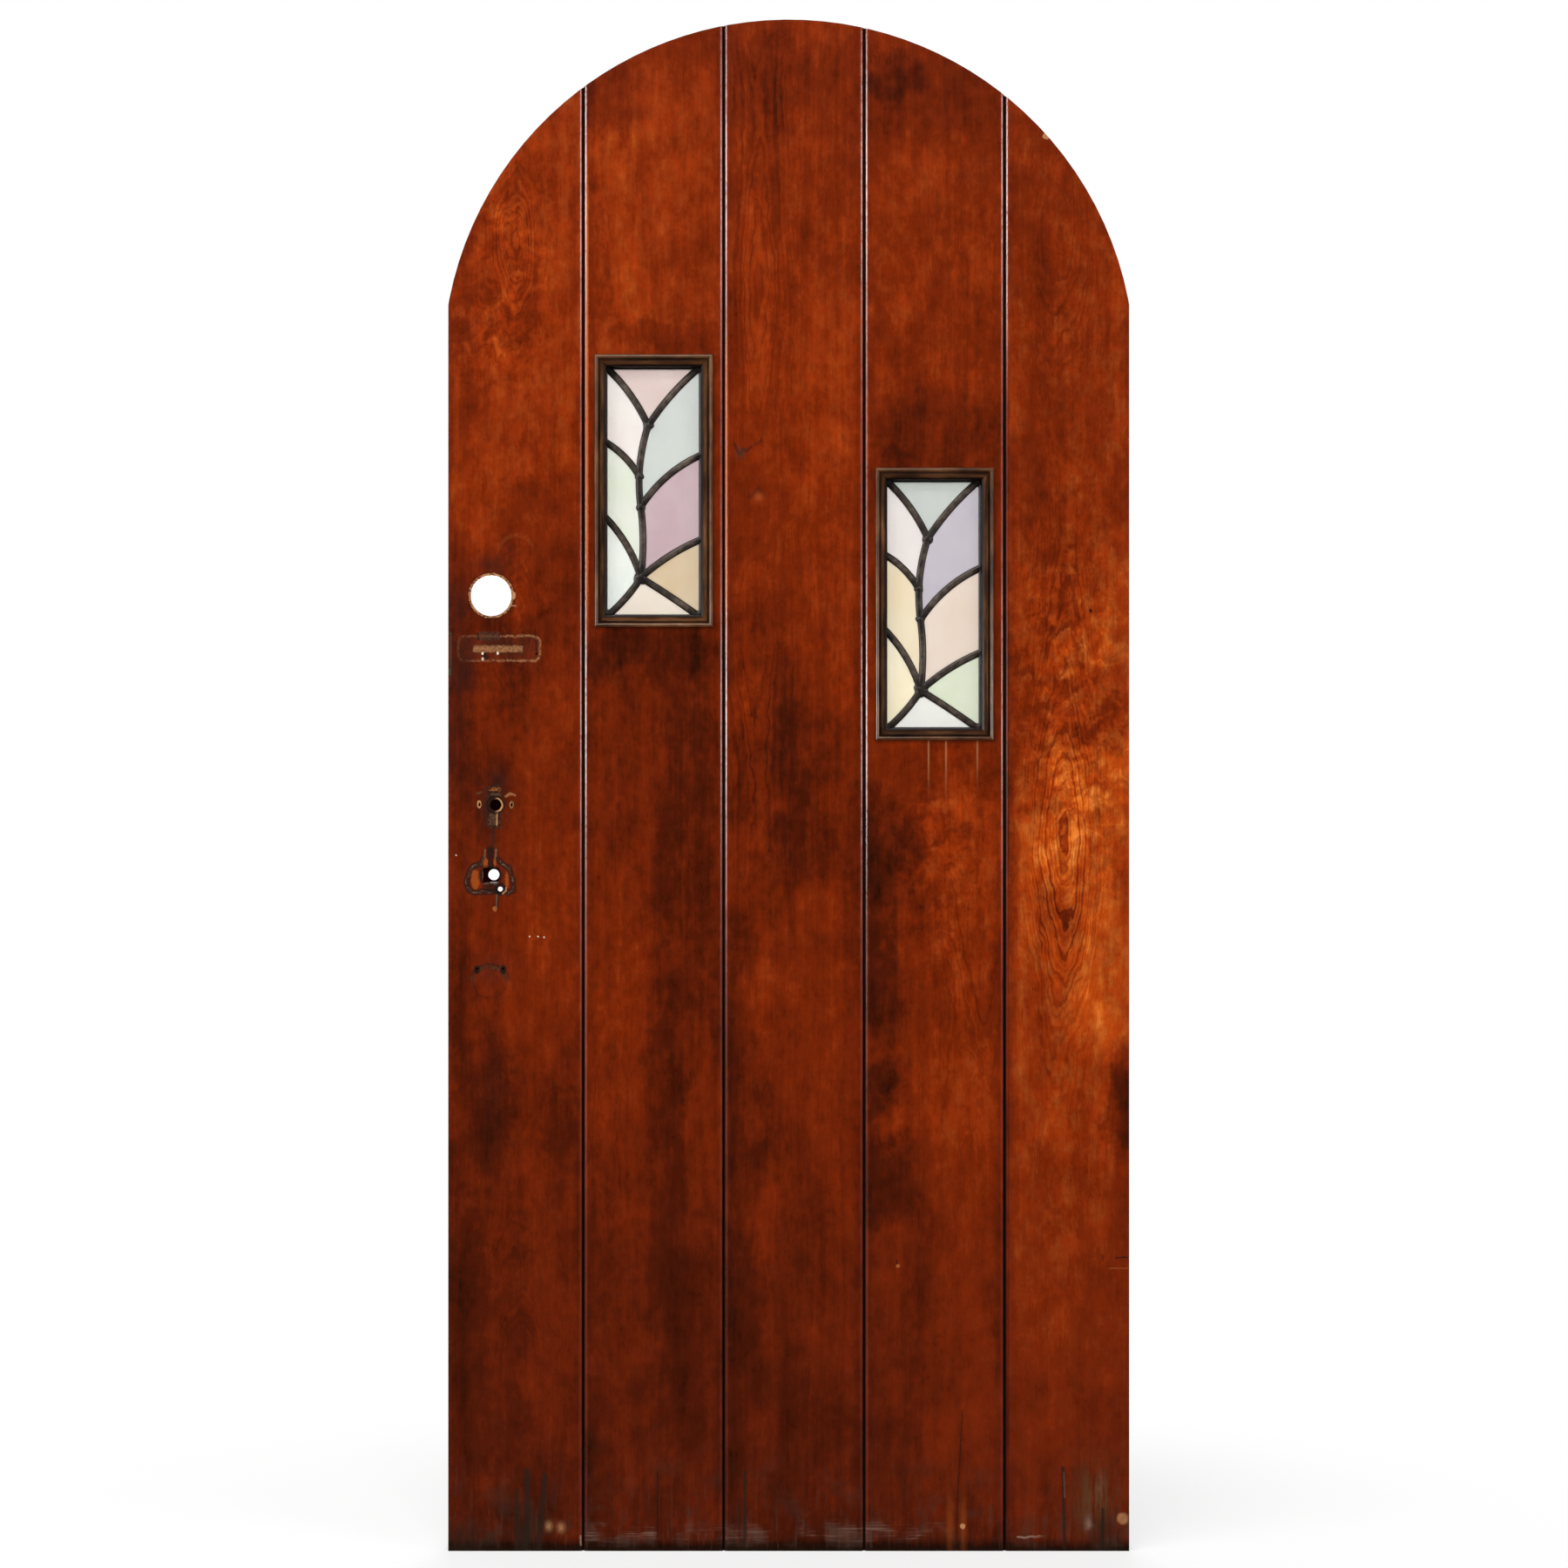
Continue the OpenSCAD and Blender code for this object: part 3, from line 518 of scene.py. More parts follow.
def plank_paint(plank):
    """Stained and varnished birch: rings round a pith line behind the face, seen through cloudy stain."""
    paint = Paint(plank.node + "_stained")
    marks = Marks(paint, plank.seed)
    y, z = marks.y, marks.z
    grain = marks.noise(190.0, 190.0, 11.0, 3.0, 0.6)
    figure = ring_figure(paint, plank, marks, grain)
    dirt, arris, shaded_core = joint_wear(paint, plank, marks)

    # how dark the stain is
    mottle = marks.noise(13.0, 8.0, 9.0, 5.0, 0.62)
    patches = marks.noise(36.0, 20.0, 23.0, 3.0, 0.6)
    fine_mottle = marks.noise(105.0, 70.0, 76.0, 3.0, 0.6)
    streak = marks.noise(85.0, 60.0, 2.4, 3.0, 0.6)
    drift = marks.noise(4.5, 3.0, 1.7)
    pores = marks.noise(1150.0, 1150.0, 48.0, 2.0, 0.6)
    tone = BASE_TONE + plank.glow
    # lighter going up and darker towards the foot: partly the stain, partly painted shade
    tone = tone + 0.15 * paint.step(z, 0.02, 0.95) + 0.075 * paint.step(z, 0.9, 1.75)
    tone = tone + figure + (mottle - 0.5) * 0.4 + (drift - 0.5) * 0.18
    small = (fine_mottle - 0.5) * 0.27 + (patches - 0.5) * 0.36 + (streak - 0.5) * 0.21
    small = small + (grain - 0.5) * 0.15
    tone = tone + small * (0.62 + 0.38 * paint.step(z, 0.25, 0.85))
    # the arrises are a little lighter, partly rubbed and partly a painted highlight
    tone = tone - 0.06 * paint.step(pores, 0.52, 0.7) + arris * 0.1
    # below the dull height the arris loses its gloss and is painted darker than the face, a painted shade
    if plank.dull:
        bright = paint.step(z, plank.dull - 0.1, plank.dull + 0.1)
        tone = tone - arris * (1.0 - bright) * 0.22
        arris = arris * (0.06 + 0.94 * bright)
    stain_and_shadow_clouds = 0.0
    # clouds of stain, two of which, just above the lights' beads, are painted shadows
    for cloud_x, cloud_z, half_w, half_h, amount in plank.clouds:
        stain_and_shadow_clouds = stain_and_shadow_clouds + marks.stain(cloud_x, cloud_z, half_w, half_h) * (amount * CLOUD_DEPTH)
    tone = tone + stain_and_shadow_clouds * (0.35 + 0.65 * paint.step(y, 0.008, -0.008))
    # dirt, and a painted shade at the bottom of each groove
    tone = tone - dirt - shaded_core * 0.75

    # colour and gloss
    tint = marks.noise(60.0, 40.0, 34.0, 4.0, 0.68)
    speckle = marks.noise(330.0, 200.0, 220.0, 2.0, 0.6)
    gold = paint.step(tint, 0.42, 0.66) * plank.gold * (0.15 + 0.85 * paint.step(tone, 0.38, 0.72))
    gold = (gold + (speckle - 0.46) * 0.55).clamp()
    colour = paint.mix(gold, paint.tones(tone, WOOD_TONES), paint.tones(tone, GOLD_TONES))
    rough = 0.31 + (mottle - 0.5) * 0.16 + (fine_mottle - 0.5) * 0.12 + shaded_core * 0.5
    chipped = paint.step(marks.noise(90.0, 90.0, 160.0), 0.3, 0.55)
    gloss = (0.014 + arris * (0.32 + 0.58 * chipped)) * (1.0 - shaded_core)
    colour, rough = plank_marks(plank.node, paint, marks, colour, rough)

    height = (grain - 0.5) * 0.4 + (pores - 0.5) * 0.3 + (fine_mottle - 0.5) * 0.2
    paint.give(
        Base_Color=colour,
        Roughness=rough,
        Specular_IOR_Level=0.06,
        Coat_Weight=gloss,
        Coat_Roughness=0.2,
        Coat_IOR=1.8,
        Normal=paint.bump(height, 0.0005, 0.2),
    )
    return paint.material


def node_middle(node):
    """The x of the middle of a CAD node."""
    low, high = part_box(node)
    return (low[0] + high[0]) / 2


# The colours of wear
RAW_WOOD = srgb(150, 84, 40)
PALE_WOOD = srgb(178, 128, 84)
CHIP_WHITE = srgb(226, 210, 190)
GREY_DIRT = srgb(58, 44, 34)
DARK_DIRT = srgb(24, 13, 8)
SOOT = srgb(34, 24, 16)
OLIVE = srgb(78, 64, 36)
ORANGE_WEAR_AND_HIGHLIGHT = srgb(192, 94, 40)
SCUFF = srgb(150, 122, 106)
SLOT_GREY = srgb(80, 58, 42)
RIM_GREY = srgb(88, 76, 58)
LOBE_WOOD = srgb(158, 74, 22)


def plank_marks(name, paint, marks, colour, rough):
    """Lays the wear of one plank over its stain: (colour, roughness)."""
    streaks = paint.noise(marks.x * 170.0, 0.0, marks.z * 16.0, 3.0, 0.65)
    smears = paint.noise(marks.x * 20.0, 3.0, marks.z * 24.0, 3.0, 0.6)
    broad = paint.step(smears, 0.38, 0.62)

    def lay(mask, tint, share=1.0, dull=0.25):
        nonlocal colour, rough
        cover = (mask * marks.front * share).clamp()
        colour = paint.mix(cover, colour, tint)
        rough = rough + cover * dull

    floor_marks(paint, marks, lay, streaks, smears)
    if name == "lock_plank":
        lock_marks(paint, marks, lay)
    if name == "upper_light_plank":
        upper_light_marks(paint, marks, lay)
    if name == "middle_plank":
        middle_marks(paint, marks, lay, broad)
    if name == "lower_light_plank":
        lower_light_marks(marks, lay)
    if name == "hinge_plank":
        hinge_marks(paint, marks, lay, streaks, broad)
    return colour, rough


def floor_marks(paint, marks, lay, streaks, smears):
    """Scuffs and dirt along the bottom."""
    drags = paint.noise(marks.x * 14.0, 0.0, marks.z * 420.0, 3.0, 0.6)
    low = paint.step(marks.z, 0.17, 0.0)
    lay(low * paint.step(streaks, 0.52, 0.72), GREY_DIRT, 0.6)
    lay(low * paint.step(smears, 0.5, 0.72), GREY_DIRT, 0.45)
    lay(paint.step(marks.ragged_z, 0.06, 0.0) * paint.step(streaks, 0.52, 0.4), DARK_DIRT, 0.45)
    band = marks.bar(-0.27, 0.29, 0.014, 0.034, 0.012)
    lay(band * paint.step(drags, 0.5, 0.68) * paint.step(smears, 0.42, 0.62), SCUFF, 0.3)
    lay(band * paint.step(smears, 0.46, 0.66), SCUFF, 0.08)
    lay(paint.step(marks.ragged_z, 0.006, 0.002), DARK_DIRT, 0.6)


def upper_light_marks(paint, marks, lay):
    """The orange of an arris worn thin, partly a painted highlight, and a short crack at the foot."""
    worn = paint.step(marks.z, 1.15, 1.35) * paint.step(marks.z, 1.9, 1.7)
    # an orange line on the arris where the groove highlight falls: partly the arris worn thin, partly a
    # painted highlight
    lay(marks.bar(-0.269, -0.2655, 1.1, 1.92, 0.001) * worn, ORANGE_WEAR_AND_HIGHLIGHT, 0.65, 0.0)
    lay(marks.bar(-0.1743, -0.1729, 0.018, 0.105, 0.0008), DARK_DIRT, 0.9)


def middle_marks(paint, marks, lay, broad):
    """A feathery dent, a dark curl below it, an orange arris that is partly worn thin and partly a painted
    highlight, and dark runs at the foot.
    """
    feather = (
        (-0.0716, 1.466), (-0.068, 1.456), (-0.064, 1.452),
        (-0.061, 1.46), (-0.0565, 1.456), (-0.05, 1.462),
    )
    lay(marks.line(0.004, *feather), DARK_DIRT, 0.55)
    lay(marks.cloud(-0.064, 1.455, 0.006, 0.007) * broad, GREY_DIRT, 0.6)
    lay(marks.line(0.005, (-0.044, 1.465), (-0.037, 1.47)), DARK_DIRT, 0.4)
    lay(marks.line(0.006, (-0.052, 1.395), (-0.04, 1.406), (-0.033, 1.398)), DARK_DIRT, 0.3)
    lay(marks.cloud(-0.04, 1.396, 0.006, 0.006), ORANGE_WEAR_AND_HIGHLIGHT, 0.3)
    worn = paint.step(marks.z, 1.15, 1.3) * paint.step(marks.z, 1.66, 1.54)
    # an orange line on the arris where the groove highlight falls: partly the arris worn thin, partly a
    # painted highlight
    lay(marks.bar(-0.0842, -0.0812, 1.1, 1.7, 0.001) * worn, ORANGE_WEAR_AND_HIGHLIGHT, 0.6, 0.0)
    lay(marks.line(0.005, (-0.058, 0.105), (-0.0584, 0.01)), SOOT, 0.75)
    lay(marks.line(0.003, (-0.066, 0.07), (-0.0655, 0.004)), SOOT, 0.6)


def lower_light_marks(marks, lay):
    """Pale runs below the light, a nick, and a crack with a pale chip at the foot."""
    for streak_x, low_z in ((0.1851, 1.023), (0.2082, 1.016), (0.2497, 1.03)):
        lay(marks.cloud(streak_x, 1.058, 0.0011, 1.058 - low_z), PALE_WOOD, 0.42)
    lay(marks.bar(0.1425, 0.1437, 0.379, 0.386, 0.0006), DARK_DIRT, 1.0)
    lay(marks.spot(0.1445, 0.3775, 0.0026, 0.0026), RAW_WOOD, 0.7)
    lay(marks.line(0.0016, (0.2301, 0.185), (0.223, 0.06), (0.222, 0.004)), DARK_DIRT, 0.7)
    for glow_x in (0.2135, 0.231):
        lay(marks.cloud(glow_x, 0.035, 0.0045, 0.04), LOBE_WOOD, 0.26)
    lay(marks.spot(0.2301, 0.0333, 0.0034, 0.004, 0.5), PALE_WOOD, 0.8)


def hinge_marks(paint, marks, lay, streaks, broad):
    """A scribed line at the hinge edge, specks, and dirt and chips at the foot."""
    lay(marks.bar(0.432, 0.452, 0.3876, 0.3894, 0.0007), DARK_DIRT, 0.85)
    lay(marks.bar(0.4152, 0.4166, 0.384, 0.392, 0.0007), DARK_DIRT, 0.7)
    lay(marks.bar(0.424, 0.452, 0.3737, 0.3749, 0.0007), RAW_WOOD, 0.45)
    lay(marks.spot(0.3409, 1.8738, 0.005, 0.004), PALE_WOOD, 0.7)
    lay(marks.spot(0.3997, 1.2452, 0.0018, 0.0026), DARK_DIRT, 0.9)
    lay(marks.cloud(0.404, 0.07, 0.024, 0.04) * paint.step(streaks, 0.36, 0.6), OLIVE, 0.6)
    lay(marks.cloud(0.416, 0.026, 0.02, 0.022), SOOT, 0.45)
    lay(marks.line(0.005, (0.416, 0.055), (0.4156, 0.004)), SOOT, 0.8)
    lay(marks.cloud(0.398, 0.036, 0.006, 0.01) * broad, SCUFF, 0.45)
    lay(marks.cloud(0.412, 0.092, 0.005, 0.01) * broad, SCUFF, 0.45)
    lay(marks.spot(0.442, 0.043, 0.007, 0.0075, 0.7) * (0.5 + 0.5 * broad), PALE_WOOD, 0.75)
    lay(marks.line(0.0026, (0.3028, 0.018), (0.3397, 0.0195)) * broad, SCUFF, 0.5)
    lay(marks.line(0.0018, (0.364, 0.104), (0.365, 0.07)), SCUFF, 0.6)
    lay(marks.line(0.0044, (0.363, 0.11), (0.364, 0.05), (0.3655, 0.004)), SOOT, 0.8)


def lock_marks(paint, marks, lay):
    """The ghosts of the removed chain track, key plate, handle plate and lower plate, and other wear."""
    flecks = paint.noise(marks.x * 300.0, 0.0, marks.z * 300.0, 3.0, 0.65)
    broken = paint.step(flecks, 0.38, 0.58)
    sparse = paint.step(flecks, 0.48, 0.62)
    for smudge_x, smudge_z, half_w, half_h, share in (
        (-0.388, 0.992, 0.026, 0.042, 0.38),
        (-0.394, 0.897, 0.04, 0.034, 0.3),
        (-0.392, 0.77, 0.026, 0.022, 0.4),
    ):
        lay(marks.cloud(smudge_x, smudge_z, half_w, half_h), DARK_DIRT, share)
    chain_track_marks(paint, marks, lay, broken)

    # deadbolt bore
    lay(marks.cloud(-0.392, 1.306, 0.024, 0.013), DARK_DIRT, 0.5)
    lay(marks.cloud(-0.37, 1.328, 0.015, 0.011) * broken, DARK_DIRT, 0.3)
    ghost = marks.ring(-0.361, 1.323, 0.022, 0.006) * paint.step(marks.ragged_z, 1.322, 1.336)
    lay(ghost * broken, RAW_WOOD, 0.16)
    lay(marks.ring(-0.394, 1.265, 0.03, 0.005), DARK_DIRT, 0.35)
    lay(marks.ring(-0.394, 1.265, 0.0283, 0.0034) * broken, PALE_WOOD, 0.8)
    lay(marks.spot(-0.364, 1.2648, 0.0022, 0.005), PALE_WOOD, 0.85)
    lay(marks.line(0.0014, (-0.3697, 1.2516), (-0.361, 1.2516)), PALE_WOOD, 0.7)

    key_plate_marks(paint, marks, lay, broken, sparse)
    handle_plate_marks(marks, lay, broken, sparse)

    # lower plate
    upper_half = paint.step(marks.ragged_z, 0.75, 0.764)
    lay(marks.ring(-0.396, 0.75, 0.0245, 0.0085) * upper_half * broken, DARK_DIRT, 0.75)
    lay(marks.ring(-0.396, 0.75, 0.0235, 0.006) * upper_half * sparse, OLIVE, 0.85)
    lay(marks.ring(-0.396, 0.754, 0.022, 0.003) * broken, DARK_DIRT, 0.35)
    for hole_x in (-0.413, -0.378):
        lay(marks.spot(hole_x, 0.77, 0.0042, 0.006, 0.5), DARK_DIRT, 0.9)

    # small specks and a run of dark stain
    for speck_x, speck_z in ((-0.3434, 0.8141), (-0.332, 0.8133), (-0.3242, 0.8126), (-0.4405, 0.9217)):
        lay(marks.spot(speck_x, speck_z, 0.0012, 0.001), CHIP_WHITE, 0.75)
    lay(marks.cloud(-0.3928, 0.6, 0.018, 0.085) * broken, DARK_DIRT, 0.34)
    lay(marks.cloud(-0.438, 1.255, 0.014, 0.035), DARK_DIRT, 0.45)
    lay(marks.cloud(-0.43, 1.16, 0.015, 0.02), DARK_DIRT, 0.45)
    lay(marks.cloud(-0.442, 1.09, 0.016, 0.09), DARK_DIRT, 0.3)

    # chips and dark runs at the foot
    for chip_x, chip_z in ((-0.3178, 0.033), (-0.3016, 0.031)):
        lay(marks.cloud(chip_x, chip_z, 0.0046, 0.006) * flecks, PALE_WOOD, 1.0)
    lay(marks.line(0.009, (-0.347, 0.105), (-0.3466, 0.04), (-0.35, 0.004)), SOOT, 0.7)
    lay(marks.line(0.007, (-0.323, 0.1), (-0.328, 0.04), (-0.331, 0.004)), SOOT, 0.8)
    lay(marks.line(0.005, (-0.36, 0.08), (-0.3585, 0.004)), SOOT, 0.7)
    lay(marks.cloud(-0.348, 0.02, 0.014, 0.022), SOOT, 0.7)
    lay(marks.cloud(-0.43, 0.012, 0.026, 0.026), SOOT, 0.6)
    lay(marks.line(0.0024, (-0.2758, 0.02), (-0.2752, 0.008)), SCUFF, 0.6)


def chain_track_marks(paint, marks, lay, broken):
    """A pale rounded outline with the raw strip of the track inside it."""
    lay(marks.bar(-0.439, -0.329, 1.177, 1.213, 0.004, 0.008), GREY_DIRT, 0.14)
    track = marks.outline(-0.4375, -0.3295, 1.179, 1.2115, 0.009, 0.0034)
    lay(track * broken * paint.step(marks.x, -0.48, -0.34), PALE_WOOD, 0.42)
    lay(marks.line(0.0034, (-0.3348, 1.204), (-0.3343, 1.193)), DARK_DIRT, 0.55)
    lay(marks.bar(-0.419, -0.352, 1.187, 1.201, 0.002, 0.002), DARK_DIRT, 0.22)
    strip = marks.bar(-0.4181, -0.3524, 1.1902, 1.199, 0.0016, 0.002)
    lay(strip * (0.35 + 0.65 * broken), PALE_WOOD, 0.5)
    lay(marks.bar(-0.4124, -0.383, 1.206, 1.217, 0.002, 0.002) * broken, GREY_DIRT, 0.85)
    lay(marks.line(0.003, (-0.4122, 1.215), (-0.411, 1.207)), DARK_DIRT, 0.7)
    lay(marks.spot(-0.401, 1.1838, 0.0042, 0.003), DARK_DIRT, 0.7)
    lay(marks.spot(-0.4049, 1.1887, 0.002, 0.0018), CHIP_WHITE, 0.9)
    lay(marks.spot(-0.3853, 1.1887, 0.0017, 0.0018), CHIP_WHITE, 0.8)
    lay(marks.spot(-0.4055, 1.1812, 0.0015, 0.0022), CHIP_WHITE, 0.5)
    lay(marks.bar(-0.454, -0.4466, 1.16, 1.216, 0.0022), OLIVE, 0.9)
    lay(marks.bar(-0.447, -0.444, 1.15, 1.222, 0.0022), DARK_DIRT, 0.55)


def key_plate_marks(paint, marks, lay, broken, sparse):
    """A dirty upright band round the cylinder hole, the slot below it and two screw holes beside it."""
    lay(marks.cloud(-0.3856, 1.02, 0.01, 0.012), DARK_DIRT, 0.62)
    lay(marks.line(0.006, (-0.3899, 0.96), (-0.3928, 0.929)), SOOT, 0.55)
    lay(marks.bar(-0.406, -0.3975, 0.96, 1.011, 0.003, 0.003) * broken, SOOT, 0.6)
    lay(marks.bar(-0.399, -0.3808, 0.957, 1.013, 0.0028, 0.005), DARK_DIRT, 0.74)
    lay(marks.bar(-0.399, -0.3808, 0.957, 1.013, 0.0028, 0.005) * sparse, SLOT_GREY, 0.55)
    lay(marks.bar(-0.3965, -0.382, 1.0065, 1.0105, 0.0014) * broken, RAW_WOOD, 0.75)
    lay(marks.bar(-0.3942, -0.3827, 0.9998, 1.0056, 0.0014) * broken, SLOT_GREY, 0.7)
    lay(marks.bar(-0.3968, -0.387, 0.9612, 0.9768, 0.0012, 0.002) * broken, SLOT_GREY, 0.85)
    lay(marks.line(0.0018, (-0.3863, 0.977), (-0.3865, 0.9615)), PALE_WOOD, 0.7)
    lay(marks.ring(-0.3885, 0.988, 0.0105, 0.005), DARK_DIRT, 0.7)
    lay(marks.ring(-0.3882, 0.988, 0.0089, 0.0024) * paint.step(marks.x, -0.39, -0.383), PALE_WOOD, 0.85)
    lay(marks.line(0.003, (-0.3745, 0.9995), (-0.369, 1.003), (-0.3629, 1.0005)), PALE_WOOD, 0.35)
    lay(marks.line(0.003, (-0.4125, 1.003), (-0.407, 1.0045)), SLOT_GREY, 0.55)
    for side, clear in ((-1, 0.8), (1, 0.45)):
        screw_x = -0.3885 + side * 0.0213
        lay(marks.spot(screw_x, 0.9885, 0.004, 0.0064), DARK_DIRT, 0.45)
        lay(marks.spot(screw_x, 0.9885, 0.0028, 0.0052), PALE_WOOD, clear)
        lay(marks.spot(screw_x + 0.0003, 0.9885, 0.0014, 0.0032), DARK_DIRT, 0.9)


def handle_plate_marks(marks, lay, broken, sparse):
    """A bell-shaped rim of grey dirt with a neck, raw wood inside it and dirt round the spindle mouth."""
    left_rim = (
        (-0.4043, 0.9162), (-0.4065, 0.9104), (-0.4187, 0.9061), (-0.4231, 0.8974),
        (-0.4271, 0.8845), (-0.4245, 0.8766), (-0.4173, 0.8722), (-0.3856, 0.8729),
    )
    right_rim = (
        (-0.3856, 0.9162), (-0.3812, 0.9111), (-0.3704, 0.9046),
        (-0.3654, 0.8873), (-0.3646, 0.8758), (-0.3726, 0.8715),
    )
    for rim in (left_rim, right_rim):
        lay(marks.line(0.0085, *rim), DARK_DIRT, 0.78)
        lay(marks.line(0.0034, *rim) * sparse, RIM_GREY, 0.85)
    lay(marks.spot(-0.415, 0.8895, 0.0058, 0.013, 0.4), LOBE_WOOD, 0.55)
    lay(marks.spot(-0.3733, 0.8888, 0.0024, 0.01, 0.5), LOBE_WOOD, 0.5)
    lay(marks.bar(-0.4, -0.3905, 0.902, 0.932, 0.0022, 0.002), DARK_DIRT, 0.8)
    lay(marks.spot(-0.4012, 0.9104, 0.003, 0.0075, 0.4), LOBE_WOOD, 0.6)
    lay(marks.spot(-0.3892, 0.9118, 0.0016, 0.006, 0.5), LOBE_WOOD, 0.55)
    lay(marks.line(0.0022, (-0.4021, 0.9285), (-0.4026, 0.9185)), RIM_GREY, 0.7)
    lay(marks.line(0.0022, (-0.3873, 0.9292), (-0.3887, 0.9183)), RIM_GREY, 0.9)
    lay(marks.spot(-0.395, 0.8945, 0.016, 0.014, 0.35), DARK_DIRT, 0.8)
    lay(marks.bar(-0.406, -0.386, 0.8735, 0.8825, 0.0022, 0.003), DARK_DIRT, 0.7)
    lay(marks.line(0.0026, (-0.403, 0.8838), (-0.387, 0.8838)) * broken, RIM_GREY, 0.75)
    lay(marks.spot(-0.382, 0.8765, 0.008, 0.0085, 0.3), DARK_DIRT, 0.9)
    lay(marks.line(0.0018, (-0.374, 0.879), (-0.3745, 0.8745), (-0.379, 0.87)), PALE_WOOD, 0.6)
    lay(marks.line(0.004, (-0.3858, 0.869), (-0.3866, 0.853)), DARK_DIRT, 0.6)
    lay(marks.line(0.0018, (-0.3866, 0.869), (-0.3871, 0.853)), RIM_GREY, 0.8)
    lay(marks.spot(-0.3892, 0.8506, 0.003, 0.0034), RAW_WOOD, 0.7)


def bead_paint(name, across, along):
    """Dark brown beads: a tan roll, painted a touch lighter as a slight painted highlight; a dark quirk
    beside it and a black inner side down to the glass, both painted shade; and a brown cove.
    """
    paint = Paint(name)
    x, y, z = paint.place()
    rub = paint.noise(x * across, y * 150.0, z * along, 4.0, 0.6)
    long_rub = paint.noise(x * 16.0, y * 60.0, z * 16.0, 3.0, 0.6)
    lift = abs(y) - LEAF_T / 2
    roll = paint.step(lift, BEAD_LIP + 0.0008, BEAD_LIP + 0.0022)
    crease_shade = paint.step(abs(lift - BEAD_LIP), 0.001, 0.0003)
    reveal_shade = paint.step(lift, -0.0022, -0.0052)
    # the crease and the reveal are painted dark as painted shade, and the roll a touch lighter as a slight
    # painted highlight
    tone = 0.54 + (rub - 0.5) * 0.6 + (long_rub - 0.5) * 0.9 + roll * 0.03 - crease_shade * 0.32 - reveal_shade * 0.9
    colour = paint.tones(tone, (
        (0.0, srgb(14, 7, 4)),
        (0.4, srgb(52, 29, 15)),
        (0.65, srgb(96, 60, 34)),
        (1.0, srgb(160, 116, 76)),
    ))
    paint.give(
        Base_Color=colour,
        Roughness=0.36 + (rub - 0.5) * 0.2,
        Specular_IOR_Level=0.05,
        Coat_Weight=(0.16 + roll * 0.44 - crease_shade * 0.12 - reveal_shade * 0.16).clamp(),
        Coat_Roughness=0.18,
        Coat_IOR=1.7,
        Normal=paint.bump(rub, 0.0005, 0.3),
    )
    return paint.material


def lead_paint(name, at):
    """Old lead: dark and brown with dirt, sooty at its joints, painted darker beside the beads as a painted
    shade, and lighter on its crown, partly rubbed and partly a painted highlight.
    """
    paint = Paint(name + "_dull")
    x, y, z = paint.place()
    rub = paint.noise(x * 150.0, y * 60.0, z * 150.0, 4.0, 0.6)
    worn = paint.noise(x * 34.0, 5.0, z * 34.0, 2.0, 0.5)
    crown = paint.step(abs(y), CAME_T * 0.36, CAME_T * 0.5)
    rim_x = abs(x - at[0]) - PANEL_W / 2
    rim_z = abs(z - at[1]) - PANEL_H / 2
    # darker beside the beads: a painted shade
    shade_and_soot = paint.step(rim_x.most(rim_z), -0.02, -0.009)
    # darker round the solder joints: soot
    for joint_x, joint_z in SOLDER_AT:
        far = ((x - (at[0] + joint_x)) ** 2.0 + (z - (at[1] + joint_z)) ** 2.0) ** 0.5
        shade_and_soot = shade_and_soot + paint.step(far, 0.026, 0.006)
    # the crown is lighter, partly rubbed and partly a painted highlight
    tone = 0.15 + (rub - 0.5) * 0.9 + (worn - 0.5) * 0.8 + crown * 0.3 - shade_and_soot * 0.36
    colour = paint.tones(tone, (
        (0.0, srgb(24, 17, 13)),
        (0.35, srgb(54, 43, 35)),
        (0.7, srgb(98, 84, 72)),
        (1.0, srgb(144, 132, 118)),
    ))
    paint.give(
        Base_Color=colour,
        Roughness=0.38 + (rub - 0.5) * 0.3,
        Metallic=0.25,
        Specular_IOR_Level=0.5,
        Normal=paint.bump(rub, 0.0008, 0.5),
    )
    return paint.material


def steel_paint():
    """Dull steel for the brads."""
    paint = Paint("brad_steel_dull")
    paint.give(Base_Color=srgb(96, 90, 84), Metallic=0.8, Roughness=0.5)
    return paint.material


# The share of a pane's seen colour that its glass is given
GLASS_SHARE = 0.82


def glass_tint(red, green, blue):
    """A pane's colour, a little darker than it looks because white light also comes through."""
    return (*(np.array(srgb(red, green, blue)[:3]) * GLASS_SHARE).tolist(), 1.0)


def glass_paint(name, middle, edge):
    """Milky glass: two close colours drift into each other, and light from behind soaks through."""
    paint = Paint(name + "_milky")
    x, _, z = paint.place()
    wisps = paint.noise(x * 22.0, 0.0, z * 14.0, 4.0, 0.55)
    fine = paint.noise(x * 210.0, 0.0, z * 210.0, 2.0)
    paint.give(
        Base_Color=paint.mix(paint.step(wisps, 0.35, 0.68), glass_tint(*middle), glass_tint(*edge)),
        Roughness=0.42,
        IOR=1.25,
        Specular_IOR_Level=0.25,
        Transmission_Weight=0.7,
        Normal=paint.bump(wisps + fine * 0.2, 0.002, 0.2),
    )
    return paint.material


